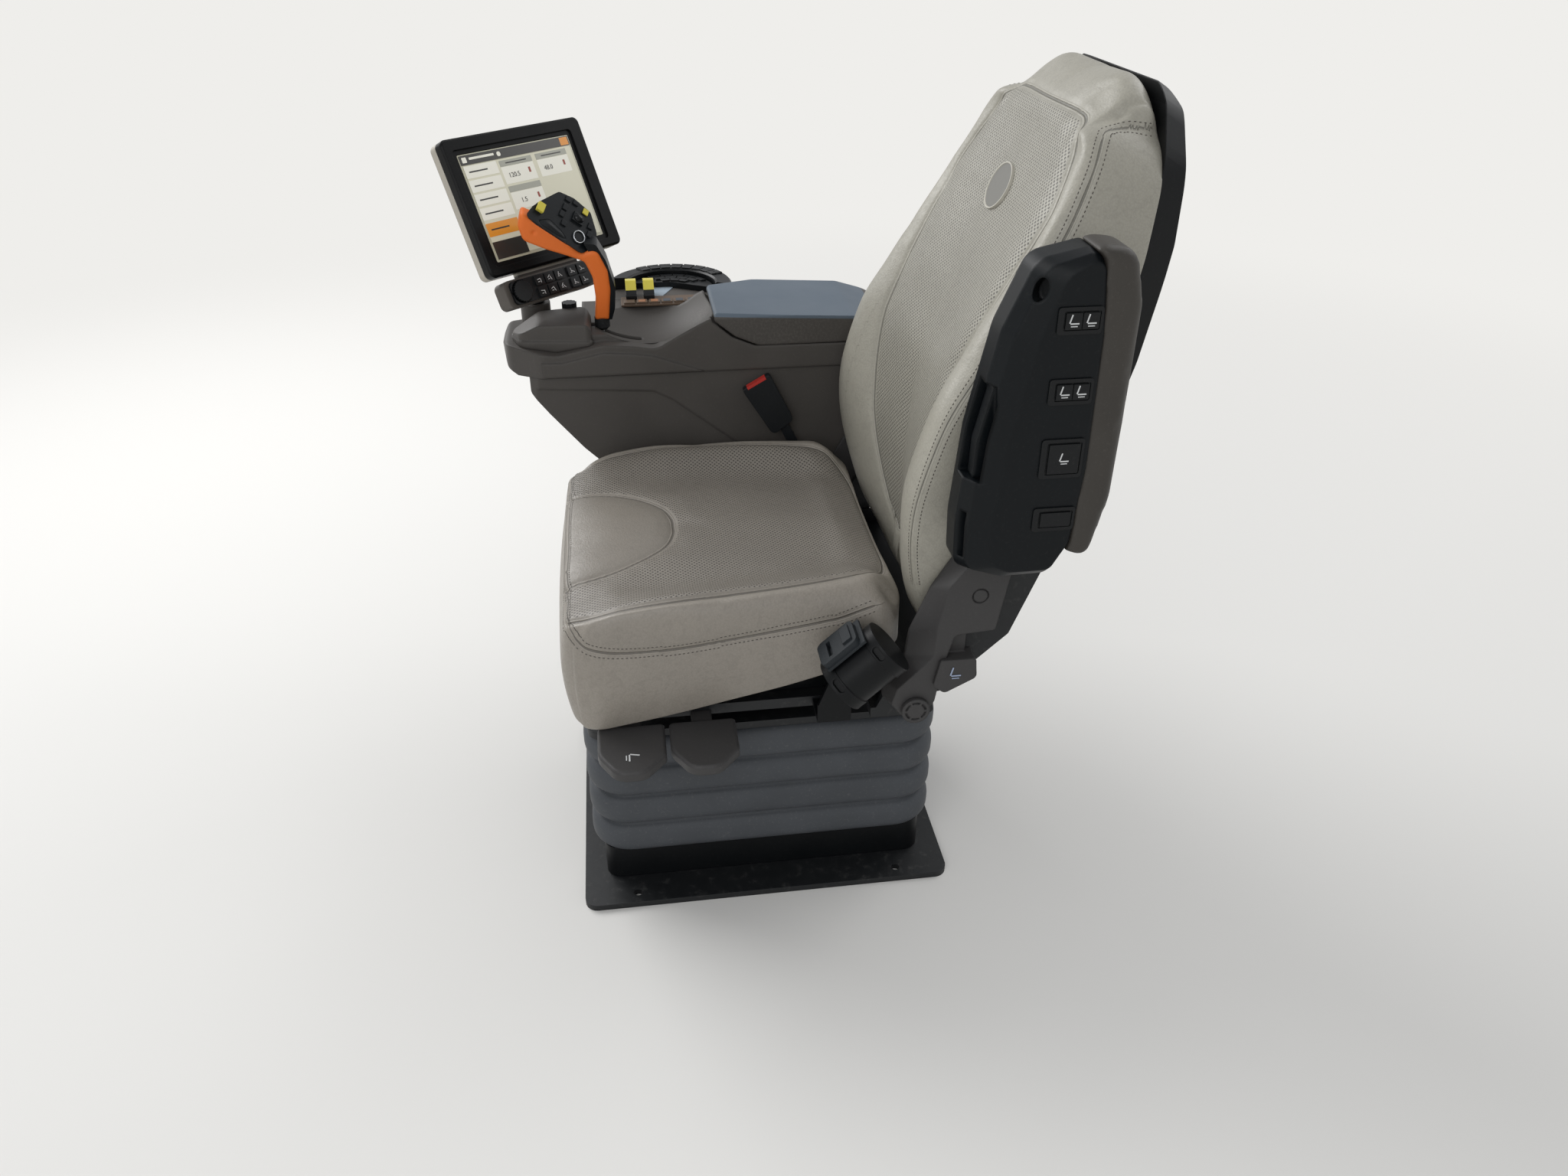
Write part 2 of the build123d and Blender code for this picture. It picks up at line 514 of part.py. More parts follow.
def console_top(w, nose, cavity):
    """Upper body with bowl, lever slot and lid, and the cover over the nose."""
    upper = side([(-358, 341, 10), (-352, 303, 8), (-334, band_z), (console_rear, band_z),
                  (console_rear, rim_z - 10, 6), (lid_hinge_y + 30, rim_z - 2, 10), (44, rim_z, 20),
                  (8, 346, 20), (lid_front, 373, 4), (lid_front - 2, lid_top_z - 6, 3), (-60, 363, 30),
                  (-114, 333, 30), (-150, 339, 20), (-196, 343, 20), (-270, 328, 30)], -w, 0)
    upper -= block(-w - 1, -150, -200, 4, deck_z, 440)
    deck = block(-w, -22, -230, lid_front - 3, band_z, deck_z)
    bowl_r, bowl_depth = 150, 28
    bowl = Pos(-78, -122, deck_z - bowl_depth + bowl_r) * Sphere(bowl_r)
    slot = block(-lever_x - shaft_r - 2, -lever_x + shaft_r + 2, lever_y - 66, lever_y + 62,
                 band_z + 20, 440, shaft_r)
    body = ((upper + deck) & nose) - bowl - slot - cavity
    # Swept panel on the inboard side, proud of the rest
    body += side([(-294, band_z + 2), (-40, band_z + 2), (-118, 322, 10), (-150, 327, 20), (-196, 331, 20),
                  (-262, 317, 20), (-294, 318)], -1, 3)
    seat_w = w / 2 - 34                                        # half width of the hinge seat
    hinge_seat = block(-w + 34, -34, lid_hinge_y - 6, lid_hinge_y + 8, rim_z - 14, lid_hinge_z)
    ear_x = [(-w + 50, -w + 80), (-80, -50)]
    for xa, xb in ear_x:
        pocket = block(xa - 1, xb + 1, lid_hinge_y - lid_ear_r - 6, lid_hinge_y + lid_ear_r + 2,
                       lid_hinge_z - lid_ear_r - 1.5, 440)
        hinge_seat -= pocket
        body -= pocket
    body += hinge_seat + rod_x(lid_pin_r, -w / 2 - seat_w, -w / 2 + seat_w, lid_hinge_y, lid_hinge_z)
    body += rod_z(24, -post_x, post_y, band_z + 35, tilt_z - 48)
    add("console_body", body, console_place)

    # Cover over the nose: sloping front, flat top, stepped side
    cover = plan([(-9, -212, 8), (-24, -326, 20), (-68, -344, 16), (-99, -300, 14), (-107, -226, 10),
                  (-88, -212, 6)], rim_z - 14, nose_top_z)
    cover &= side([(-350, rim_z - 4), (-340, nose_top_z - 23, 20), (-296, nose_top_z - 2, 30),
                   (-220, nose_top_z, 8), (-208, nose_top_z - 21, 6), (-208, rim_z - 14),
                   (-350, rim_z - 14)], -w, 0)
    step_z = nose_top_z - 27
    step = plan([(-5, -208), (-20, -330), (-70, -350), (-110, -300), (-111, -208)], rim_z - 20, step_z)
    inset = plan([(-11, -214, 8), (-26, -325, 20), (-68, -342, 16), (-97, -299, 14), (-105, -228, 10),
                  (-88, -214, 6)], step_z - 1, nose_top_z + 1)
    cover &= step + inset
    add("nose_cover", cover - body, console_place)

    # Storage lid with its two hinge ears
    lid = side([(lid_front + 2, lid_top_z, 6), (lid_front + 4, lid_top_z - 11, 4), (12, rim_z + 17, 30),
                (50, rim_z + 0.5, 30), (lid_rear, rim_z + 0.5), (lid_rear, lid_top_z - 29, 4),
                (205, lid_top_z - 12, 30)], -w + 2, -1)
    lid &= plan([(0, lid_front - 4), (0, lid_rear), (-w + 4, lid_rear, 20), (-w + 2, 60, 30),
                 (-w + 44, lid_front - 4, 12)], rim_z, 440)
    bevel = 7
    lid &= front([(-w, rim_z), (-w, lid_top_z - bevel), (-w + bevel, lid_top_z), (-1 - bevel, lid_top_z),
                  (-1, lid_top_z - bevel), (-1, rim_z)], -60, 340)
    lid -= cavity & block(-w, 0, -100, 340, 0, 359)
    for xa, xb in ear_x:
        lid += rod_x(lid_ear_r, xa, xb, lid_hinge_y, lid_hinge_z)
        lid += block(xa, xb, lid_rear - 8, lid_hinge_y, lid_hinge_z - 2, lid_hinge_z + lid_ear_r)
    lid -= rod_x(lid_pin_r + run_gap, -w, 0, lid_hinge_y, lid_hinge_z)
    add("storage_lid", lid - body, console_place)


def ring_keys(rows, z0, z1):
    """Key tops set round the arc's centre."""
    keys = []
    for r0, r1, first, last, count in rows:
        pitch = (last - first) / count
        for i in range(count):
            a, b = radians(first + i * pitch + 0.8), radians(first + (i + 1) * pitch - 0.8)
            corners = [(r0, a), (r1, a), (r1, b), (r0, b)]
            keys.append(plan([(-arc_x + r * cos(t), arc_y + r * sin(t)) for r, t in corners], z0, z1))
    return joined(keys)


def controls(w):
    """Outboard pod with its key arc, inner keys, key plate, paddles and ribbed knob."""
    pod = plan([(-w, -190), (-300, -178, 20), (-326, -140, 20), (-332, -60, 40), (-312, 4, 30),
                (-262, 32, 30), (-w, 40)], deck_z - 26, deck_z)
    pod += plan([(-w, 30), (-w, -150), (-290, -150, 14), (-302, -20, 40), (-250, 22, 20)],
                deck_z - 52, deck_z - 26)
    add("control_pod", pod - parts_local("console_body"), console_place)
    half = plan([(-w - 2, 90), (-w - 2, 24), (-w - 60, -78), (-w - 60, -190), (-400, -190), (-400, 90)],
                deck_z - 10, 440)
    ring = rod_z(arc_r, -arc_x, arc_y, deck_z, deck_z + arc_h)
    ring -= rod_z(arc_r - arc_band, -arc_x, arc_y, deck_z - 1, deck_z + arc_h + 1)
    ring = chamfer(ring.faces().sort_by(Axis.Z)[-1].edges(), 3)
    mid = arc_r - arc_band / 2
    key_rows = [
        # inner radius, outer radius, first angle, last angle, keys
        (mid - 11, mid - 0.6, 112, 214, 8), (mid + 0.6, mid + 10, 112, 214, 8),
    ]
    keys = ring_keys(key_rows, deck_z + arc_h - 2, deck_z + arc_h + 2)
    add("keypad_arc", (ring & half) + keys, console_place)
    inner = rod_z(arc_r - arc_band - 4, -arc_x, arc_y, deck_z, deck_z + 10) & half
    inner_rows = [(62, 72, 116, 212, 5), (49, 60, 122, 208, 4), (36, 47, 132, 200, 3)]
    inner += ring_keys(inner_rows, deck_z + 8, deck_z + 12.5)
    add("keypad_inner", inner, console_place)

    plate = block(-200, -155, -164, -32, deck_z, deck_z + 3, 4)
    for i in range(6):
        yc = -150 + i * 21
        plate += block(-176, -159, yc - 9, yc + 9, deck_z + 2, deck_z + 6)
    add("control_plate", plate, console_place)
    paddles = []
    for yc in (-146, -116):
        foot = deck_z + 3
        paddles.append(front([(-180, foot), (-180, foot + 9, 4), (-206, foot + 27, 6), (-234, foot + 22, 4),
                              (-232, foot + 12, 2), (-204, foot)], yc - 9, yc + 9))
    knob_x, knob_y = -lever_x - 39, lever_y - 52
    knob = rod_z(12, knob_x, knob_y, deck_z - 34, deck_z + 26)
    for i in range(12):
        knob -= Pos(knob_x, knob_y, deck_z + 20) * Rot(0, 0, 30 * i) * Pos(12, 0, 0) * Box(2, 3, 14)
    paddles = joined(paddles) - plate
    knob -= parts_local("console_body") + parts_local("nose_cover")
    add("throttle_paddles", paddles + knob, console_place)


def parts_local(name):
    """A finished console piece, back in the console's own frame."""
    return console_place.inverse() * parts[name]


# Lever: steel shaft, rubber boot, orange grip and black upper shell with its buttons

grip_line = [
    # along, height above the foot, corner radius: round the grip from its tip, underside first
    (-302, 190, 4), (-309, 168, 12), (-304, 144, 14), (-272, 128, 30), (-244, 117, 30), (-216, 105, 12),
    (-205, 76, 30), (-203, 36, 30), (-207, 0), (-184, 0), (-178, 54, 40), (-180, 88, 30), (-195, 126, 12),
    (-221, 120, 10), (-246, 156, 30), (-262, 173, 14), (-284, 179, 14),
]
spine_line = [
    # black strip down the rear of the grip
    (-214, 136), (-196, 134, 10), (-182, 104, 30), (-171, 56, 50), (-174, 20, 20), (-180, 0), (-192, 0),
    (-186, 54, 30), (-190, 92, 30), (-206, 118),
]
control_face = [
    # across the face, towards the tip, corner radius
    (-33, 67, 6), (-12, 62, 8), (6, 52, 10), (35, 33, 8), (40, 8, 12), (36, -24, 10), (10, -46, 10),
    (-16, -45, 8), (-34, -34, 8),
]
face_buttons = [
    # across, towards the tip, width, depth, height above the face
    (-8, 51, 14, 11, 7), (30, -16, 9, 9, 3), (13, -9, 15, 19, 4), (18, 16, 10, 8, 2.5), (5, 17, 9, 8, 2.5),
    (-7, 9, 8, 9, 2.5), (32, 16, 7, 9, 2.5), (34, 3, 7, 9, 2.5), (14, -31, 9, 8, 2.5), (1, -34, 9, 8, 2.5),
]


def lever():
    x, y, foot = -lever_x, lever_y, lever_foot_z
    shaft = rod_z(shaft_r, x, y - 3, band_z + 20, foot - boot_h / 2)
    boot = rod_z(boot_r, x, y, foot - boot_h, foot)
    boot = chamfer(boot.faces().sort_by(Axis.Z)[0].edges(), 4)
    add("lever_shaft", shaft - boot, console_place)
    add("lever_boot", boot, console_place)
    lean_in = Pos(x, 0, foot) * Rot(0, lever_lean, 0)
    t = grip_half
    grip = side(grip_line, -t, t)
    grip = fillet(grip.faces().sort_by(Axis.X)[-1].edges(), grip_round)

    # Head: the control face looks at the occupant, its back is drawn in
    facing = Plane(origin=(1 - t, -232, 159), x_dir=(-0.83, 0.36, 0.43), z_dir=(0.56, 0.53, 0.64))
    head = extrude(facing * outline(control_face), -head_depth, taper=22)
    head += side(spine_line, -t - 4, t - 3)
    head -= grip
    for across, along, wide, deep, tall in face_buttons:
        head += facing * Pos(across, along, 0) * Box(wide, deep, 2 * tall)
    head += facing * Pos(-13, -20, 0) * (Cylinder(10, 6) - Pos(0, 0, 3) * Cylinder(7.5, 3))
    grip -= Pos(t, -286, 158) * Rot(0, 90, 0) * Cylinder(3.5, 5)
    add("lever_grip", (lean_in * grip) - boot, console_place)
    add("lever_head", (lean_in * head) - boot, console_place)


# Display on its post

def display():
    px, py = -post_x, post_y
    post = rod_z(post_r, px, py, tilt_z - 48 + run_gap, tilt_z - 18)
    tilt_at = Pos(px, py, tilt_z) * Rot(0, 0, screen_yaw)
    cheek_y = lug_w / 2 + run_gap + cheek_t / 2
    fork = Pos(0, 0, -19) * Box(24, 2 * cheek_y + cheek_t, 6)
    for sy in (-1, 1):
        fork += Pos(0, sy * cheek_y, -7) * Box(20, cheek_t, 30)
    fork += Rot(90, 0, 0) * Cylinder(4, 2 * cheek_y + cheek_t)
    add("display_post", post + tilt_at * fork, console_place)
    lug = Rot(90, 0, 0) * Cylinder(10, lug_w) + Pos(0, 0, 20) * Box(16, lug_w, 40)
    lug -= Rot(90, 0, 0) * Cylinder(4 + face_gap, lug_w + 2)

    # Screen frame: local x out of the face, y to the viewer's right, z up the screen
    tilted = Rot(0, 0, screen_yaw) * Rot(0, -screen_pitch, 0)
    place = console_place * Pos(-screen_x, screen_y, screen_z) * tilted
    lug = place.inverse() * (console_place * tilt_at * lug)
    yz = Plane.YZ
    middle = Pos(5, 2)
    bezel = extrude(yz.offset(-bezel_t) * middle * RectangleRounded(bezel_w, bezel_h, 10), bezel_t + 3)
    bezel = chamfer(bezel.faces().sort_by(Axis.X)[-1].edges(), 3)
    bezel -= extrude(yz.offset(-2) * RectangleRounded(screen_w, screen_h, 3), 10)
    bezel -= extrude(yz * RectangleRounded(screen_w + 14, screen_h + 14, 6), 10)
    add("display_bezel", bezel, place)
    rear_x = -bezel_t - housing_t
    back = extrude(yz.offset(rear_x) * middle * RectangleRounded(bezel_w - 30, bezel_h - 30, 14), housing_t)
    back = chamfer(back.faces().sort_by(Axis.X)[0].edges(), 8)
    rim = extrude(yz.offset(-bezel_t - 14) * middle * RectangleRounded(bezel_w, bezel_h, 10), 14)
    strip_at = Pos(-25, -131)
    case = extrude(yz.offset(-30) * strip_at * RectangleRounded(strip_w, strip_h, 10), 28)
    web = Pos(-24, -8, -104) * Box(12, 120, 40)
    housing = back + rim + case + (web - bezel) + (lug - bezel - back - rim)
    add("display_housing", housing - bezel, place)
    glass = extrude(yz.offset(-2) * RectangleRounded(screen_w - 1, screen_h - 1, 2), 2)
    add("display_screen", glass, place)

    # Key strip: face plate with two rows of keys and the ribbed dial
    strip = extrude(yz.offset(-2) * strip_at * RectangleRounded(strip_w - 16, strip_h - 6, 8), 5)
    for row in (-9, 9):
        for i in range(5):
            yc = -50 + i * 20 + (6 if i > 2 else 0)
            strip += extrude(yz.offset(2) * Pos(yc, -131 + row) * RectangleRounded(17, 15, 1.5), 4)
    dial_y = -25 - strip_w / 2 + 26
    strip -= Pos(3, dial_y, -131) * Rot(0, 90, 0) * Cylinder(18, 8)
    add("display_keys", strip, place)
    dial = Pos(3, dial_y, -131) * Rot(0, 90, 0) * Cylinder(16.5, 8)
    for i in range(24):
        dial -= Pos(3, dial_y, -131) * Rot(15 * i, 0, 0) * Pos(0, 16.5, 0) * Box(12, 2, 1.6)
    add("display_dial", dial, place)


base()
turntable()
seat()
backrest()
armrest()
console()
display()

for name, shape in parts.items():
    export_step(shape, f"parts/{name}.step")
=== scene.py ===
import math
from functools import partial

import bmesh
import bpy
from mathutils import Matrix, Vector, bvhtree, kdtree, noise


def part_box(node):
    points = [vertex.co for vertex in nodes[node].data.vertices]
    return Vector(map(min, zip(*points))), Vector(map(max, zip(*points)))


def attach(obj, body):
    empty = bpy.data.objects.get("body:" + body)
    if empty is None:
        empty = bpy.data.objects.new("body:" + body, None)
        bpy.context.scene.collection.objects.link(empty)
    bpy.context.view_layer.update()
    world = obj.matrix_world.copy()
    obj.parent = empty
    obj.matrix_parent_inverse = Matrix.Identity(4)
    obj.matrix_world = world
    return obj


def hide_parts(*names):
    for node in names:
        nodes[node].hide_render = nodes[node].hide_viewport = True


# Operator's seat with its console, lever, display and folding armrest.
# Metres, Z up, the occupant faces -Y and their left is +X.

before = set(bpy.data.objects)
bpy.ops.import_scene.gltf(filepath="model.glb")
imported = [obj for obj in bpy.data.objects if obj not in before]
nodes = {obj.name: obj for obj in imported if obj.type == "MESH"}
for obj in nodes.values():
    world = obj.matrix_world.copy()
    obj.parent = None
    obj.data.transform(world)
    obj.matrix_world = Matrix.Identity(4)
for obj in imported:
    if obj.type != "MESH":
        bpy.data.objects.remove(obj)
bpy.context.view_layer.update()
scene = bpy.context.scene
mm = 0.001
print("frame loaded")


# Node and colour helpers

def linear(hexText):
    # opaque linear colour of an sRGB hex text
    channels = [int(hexText[i:i + 2], 16) / 255 for i in (1, 3, 5)]
    return tuple(c / 12.92 if c <= 0.04045 else ((c + 0.055) / 1.055) ** 2.4
                 for c in channels) + (1.0,)


def toned(hexText, share):
    # the same colour made darker or paler
    return tuple(Vector(linear(hexText)[:3]) * share) + (1.0,)


def setInputs(material, made, inputs):
    # inputs by name or in order, each a value or the output of another node
    for key, value in inputs.items() if isinstance(inputs, dict) else enumerate(inputs):
        if isinstance(value, bpy.types.NodeSocket):
            material.node_tree.links.new(value, made.inputs[key])
        else:
            made.inputs[key].default_value = value


def addNode(material, kind, inputs=(), output=0, **settings):
    # a node with its settings and links; gives back one of its outputs
    made = material.node_tree.nodes.new("ShaderNode" + kind)
    for name, value in settings.items():
        setattr(made, name, value)
    setInputs(material, made, inputs)
    return made.outputs[output]


def newMaterial(name, colour, roughness, **inputs):
    material = bpy.data.materials.new(name)
    material.use_nodes = True
    shader = material.node_tree.nodes["Principled BSDF"]
    setInputs(material, shader, {"Base Color": linear(colour), "Roughness": roughness})
    setInputs(material, shader, inputs)
    material.diffuse_color = linear(colour)
    return material, shader


def layered(material, tone, layers):
    # colours laid over each other, each where its mask is 1
    for where, paint in layers:
        tone = addNode(material, "Mix", {0: where, 6: tone, 7: paint}, 2, data_type="RGBA")
    return tone


def objectCoordinates(material, turn=(0, 0, 0)):
    at = addNode(material, "TexCoord", output="Object")
    return addNode(material, "Mapping", {"Vector": at, "Rotation": turn})


def perMetre(sizeMm):
    # texture scale for a pattern whose repeat has this size
    return 1 / (sizeMm * mm)


def placeOf(origin, xWay, zWay):
    # frame from an origin in mm and two directions
    x, z = Vector(xWay).normalized(), Vector(zWay).normalized()
    y = z.cross(x)
    turned = Matrix((x, y, z)).transposed().to_4x4()
    return Matrix.Translation(Vector(origin) * mm) @ turned


def boxMask(material, place, half, centre=(0, 0, 0)):
    # 1 inside a box given in mm in a placed frame, else 0
    add = partial(addNode, material)
    local = add("Mapping", {"Vector": add("TexCoord", output="Object"), "Location": place.translation,
                            "Rotation": place.to_euler()}, vector_type="TEXTURE")
    moved = add("VectorMath", [local, Vector(centre) * mm], operation="SUBTRACT")
    folded = add("VectorMath", [moved], operation="ABSOLUTE")
    beyond = add("VectorMath", [folded, Vector(half) * mm], operation="SUBTRACT")
    x, y, z = add("SeparateXYZ", [beyond], slice(3))
    most = add("Math", [add("Math", [x, y], operation="MAXIMUM"), z], operation="MAXIMUM")
    return add("Math", [most, 0.0], operation="LESS_THAN")


# Moulded plastics

plastic = {
    "grainMm": 1.1,          # spark-eroded tool texture, drawn coarser than real so that it shows
    "grainHighMm": 0.12,
    "mottleMm": 90,          # slow change of tone from handling
    "dustMm": 4,
    "dust": "#B4AFA6",
    # pale colour of rubbed wear, on the lid's top also used for painted sheen
    "scuff": "#A9A59C",
}


def mouldedPlastic(name, colour, roughness, grain=0.25, mottle=0.05, dust=0.0, edgeMm=1.5,
                   patches=(), scuffsAndSheen=(), gloss=0.3):
    # ABS and PP covers: even colour, fine tool grain, soft wide highlight
    material, shader = newMaterial(name, colour, roughness, **{"Specular IOR Level": gloss})
    add = partial(addNode, material)
    at = objectCoordinates(material)
    fine = add("TexNoise", {"Vector": at, "Scale": perMetre(plastic["grainMm"]), "Detail": 2.0})
    slow = add("TexNoise", {"Vector": at, "Scale": perMetre(plastic["mottleMm"]), "Detail": 3.0})
    specks = add("TexNoise", {"Vector": at, "Scale": perMetre(plastic["dustMm"]), "Detail": 6.0,
                              "Roughness": 0.7})
    layers = [(add("MapRange", [slow, 0.35, 0.65, 0, 1]), toned(colour, 1 + mottle))]
    if dust:
        layers += [(add("MapRange", [specks, 0.56, 0.8, 0, dust]), linear(plastic["dust"]))]
    for centre, reach, strength in scuffsAndSheen:
        # pale patch broken up by the speck pattern: rubbed wear, and on the lid's top also painted
        # sheen
        away = add("VectorMath", [at, Vector(centre) * mm], "Value", operation="DISTANCE")
        near = add("MapRange", [away, reach * mm, 0, 0, 1], interpolation_type="SMOOTHSTEP")
        worn = add("MapRange", [specks, 0.45, 0.62, 0, strength])
        layers += [(add("Math", [near, worn], operation="MULTIPLY"), linear(plastic["scuff"]))]
    layers += [(boxMask(material, place, half, centre), linear(paint))
               for place, half, centre, paint in patches]
    rounded = add("Bevel", {"Radius": edgeMm * mm}, samples=6)
    setInputs(material, shader, {
        "Base Color": layered(material, toned(colour, 1 - mottle), layers),
        "Roughness": add("MapRange", [slow, 0.3, 0.7, roughness - 0.05, roughness + 0.06]),
        "Normal": add("Bump", {"Strength": grain, "Distance": plastic["grainHighMm"] * mm,
                               "Height": fine, "Normal": rounded}),
    })
    return material


metal = {
    "rubMm": 14,
    "rub": "#8C8A86",        # bare or dull metal where hands and boots rub
    "brushMm": 1.5,
    "brushHighMm": 0.15,
    "edgeMm": 0.8,
}


def steel(name, colour, roughness, metallic, scuff):
    # painted or plated sheet steel with rubbed patches
    material, shader = newMaterial(name, colour, roughness, Metallic=metallic)
    add = partial(addNode, material)
    at = objectCoordinates(material)
    worn = add("TexNoise", {"Vector": at, "Scale": perMetre(metal["rubMm"]), "Detail": 8.0,
                            "Roughness": 0.65})
    brushed = add("TexNoise", {"Vector": at, "Scale": perMetre(metal["brushMm"]), "Detail": 3.0})
    rubbed = add("MapRange", [worn, 0.55, 0.75, 0, scuff])
    rounded = add("Bevel", {"Radius": metal["edgeMm"] * mm}, samples=4)
    setInputs(material, shader, {
        "Base Color": layered(material, linear(colour), [(rubbed, linear(metal["rub"]))]),
        "Roughness": add("MapRange", [worn, 0.3, 0.7, roughness - 0.08, roughness + 0.1]),
        "Normal": add("Bump", {"Strength": 0.15, "Distance": metal["brushHighMm"] * mm,
                               "Height": brushed, "Normal": rounded}),
    })
    return material


# Leather

leather = {
    "grainMm": 2.6,          # pebble of the embossed hide, drawn a little coarse so that it shows
    "grainHighMm": 0.4,
    "holeMm": 4.8,           # spacing of the perforations, drawn a little coarse so that they show
    "holeRadiusMm": 1.2,
    "plainEdgeMm": 7,        # unpierced border inside the seams
    "creaseMm": 15,
    "creaseHighMm": 1.2,
    "toneMm": 150,           # slow change of tone over the hide
    "seamMm": 2.0,           # half width of the sewn groove
    "rollMm": 2.6,           # from the seam to the rolled edge beside it
    "seamHighMm": 0.9,
}


def seatLeather(name, colour, turn, creasing, worn):
    # coated split leather: satin, pebbled, pierced on the insert, with sunk seams; painted shade in the
    # creases and seam grooves, painted highlight on the rolled seam edges
    material, shader = newMaterial(name, colour, 0.44)
    add = partial(addNode, material)
    at = objectCoordinates(material, turn)
    insert, pad, seam = (add("Attribute", output="Fac", attribute_name=edge)
                         for edge in ("insertEdge", "padEdge", "seamEdge"))
    pebbles = add("TexVoronoi", {"Vector": at, "Scale": perMetre(leather["grainMm"]),
                                 "Smoothness": 0.4}, feature="SMOOTH_F1")
    creases = add("TexNoise", {"Vector": at, "Scale": perMetre(leather["creaseMm"]),
                               "Detail": 6.0, "Roughness": 0.62, "Distortion": 1.4})
    slow = add("TexNoise", {"Vector": at, "Scale": perMetre(leather["toneMm"]), "Detail": 2.0})
    holes = add("TexVoronoi", {"Vector": at, "Scale": perMetre(leather["holeMm"]),
                               "Randomness": 0.0}, voronoi_dimensions="2D")
    share = leather["holeRadiusMm"] / leather["holeMm"]
    pierced = add("MapRange", [holes, share * 0.8, share * 1.35, 1, 0])
    rim = leather["plainEdgeMm"]
    for edge, side in ((insert, 1), (pad, -1)):
        within = add("MapRange", [edge, side * rim, side * (rim + 0.6), 0, 1])
        pierced = add("Math", [pierced, within], operation="MULTIPLY")

    layers = [
        # where, share of the leather's own colour
        (add("MapRange", [slow, 0.35, 0.65, 0, 1]), 1.05),
        # painted shade: darker along the creases
        (add("MapRange", [creases, 0.40, 0.49, 0.14, 0]), 0.5),
        # darker over the whole pierced insert, by the share passed as worn
        (add("MapRange", [insert, -1, 1, 0, worn]), 0.5),
        (add("MapRange", [pebbles, 0.2, 0.75, 0.0, 0.16]), 0.45),
        (pierced, 0.25),
    ]
    height = add("Math", [pierced, -0.6], operation="MULTIPLY")
    half = leather["seamMm"]
    # painted shade in each seam groove and painted highlight on the rolled edge beside it, besides the
    # bumps
    for distance, sunk in ((insert, 0.72), (pad, 0.6), (seam, 0.7)):
        away = add("Math", [distance], operation="ABSOLUTE")
        groove = add("MapRange", [away, half * 0.35, half, 1, 0], interpolation_type="SMOOTHSTEP")
        past = add("Math", [away, leather["rollMm"]], operation="SUBTRACT")
        beside = add("Math", [past], operation="ABSOLUTE")
        roll = add("MapRange", [beside, 0.2, 1.5, 1, 0], interpolation_type="SMOOTHSTEP")
        # painted shade in the groove, painted highlight on the rolled edge
        layers += [(add("Math", [groove, sunk], operation="MULTIPLY"), 0.3),
                   (add("Math", [roll, 0.2], operation="MULTIPLY"), 1.4)]
        raised = add("Math", [roll, 0.7], operation="MULTIPLY")
        lift = add("Math", [raised, groove], operation="SUBTRACT")
        height = add("Math", [height, lift], operation="ADD")
    pebbled = add("Bump", {"Strength": 0.55, "Distance": leather["grainHighMm"] * mm,
                           "Height": pebbles}, invert=True)
    creased = add("Bump", {"Strength": creasing, "Distance": leather["creaseHighMm"] * mm,
                           "Height": creases, "Normal": pebbled})
    setInputs(material, shader, {
        "Base Color": layered(material, toned(colour, 0.95),
                              [(where, toned(colour, share)) for where, share in layers]),
        "Roughness": add("MapRange", [creases, 0.35, 0.65, 0.50, 0.40]),
        "Normal": add("Bump", {"Strength": 0.9, "Distance": leather["seamHighMm"] * mm,
                               "Height": height, "Normal": creased}),
    })
    return material


# Frames of the tilted faces, from the model's own angles

leverPlace = Matrix.Translation((-0.348, 0, 0.729)) @ Matrix.Rotation(math.radians(15), 4, "Y")
controlFace = leverPlace @ placeOf((-12, -232, 159), (-0.83, 0.36, 0.43), (0.56, 0.53, 0.64))
screenFace = placeOf((-400, -288, 907), (-0.672, 0.741, 0), (0.671, 0.608, 0.424))
restFace = placeOf((365.6, 316, 363), (0, 1, 0), (1, 0, 0))          # x along Y, y up
handleFace = placeOf((306, 236, 446), (0, 1, 0), (1, 0, 0))
paddleFace = placeOf((290, -190, 357), (1, 0, 0), (0, 0, 1))

# the lid's blue-grey is a painted sky reflection on its top; the yellow and red are the buttons' own
# colours
yellowPaint, redPaint, lidReflection = "#C9BC4A", "#B3322B", "#535E69"
warmGrey, shellBlack = "#464340", "#0E1215"

# polypropylene: near black with a dull highlight; the armrest's is a little smoother
blackPlastic = mouldedPlastic("polypropyleneMoulded", "#0A0C0E", 0.42, dust=0.02, edgeMm=2,
                              gloss=0.2)
restPlastic = mouldedPlastic("polypropyleneArmrest", "#0B0F12", 0.38, dust=0.02, edgeMm=5,
                             gloss=0.18)
# ABS: warm dark greys with a satin grain, the lid's top with a painted blue-grey sky reflection
consolePlastic = mouldedPlastic("absGrained", warmGrey, 0.5, dust=0.05, edgeMm=6,
                                scuffsAndSheen=[((-362, -46, 730), 45, 0.15)])
# painted reflection: the slate blue patches on the lid's top stand for the sky reflected in it
lidPlastic = mouldedPlastic("absLidPaintedReflection", warmGrey, 0.42, dust=0.03, edgeMm=5,
                            patches=[(placeOf((-372, 90, 742), (1, 0, 0), (0, 0.052, 1)),
                                      (120, 118, 4.5), (0, -3, 0), lidReflection),
                                     (placeOf((-372, 248, 727.5), (1, 0, 0), (0, 0.2, 1)),
                                      (120, 46, 4.5), (0, 0, 0), lidReflection)],
                            # broad pale patch over the lid's top: rubbed wear with painted sheen
                            scuffsAndSheen=[((-372, 90, 742), 190, 0.12)])
coverPlastic = mouldedPlastic("absCoverMoulded", "#3B3A3A", 0.48, dust=0.04, edgeMm=4)
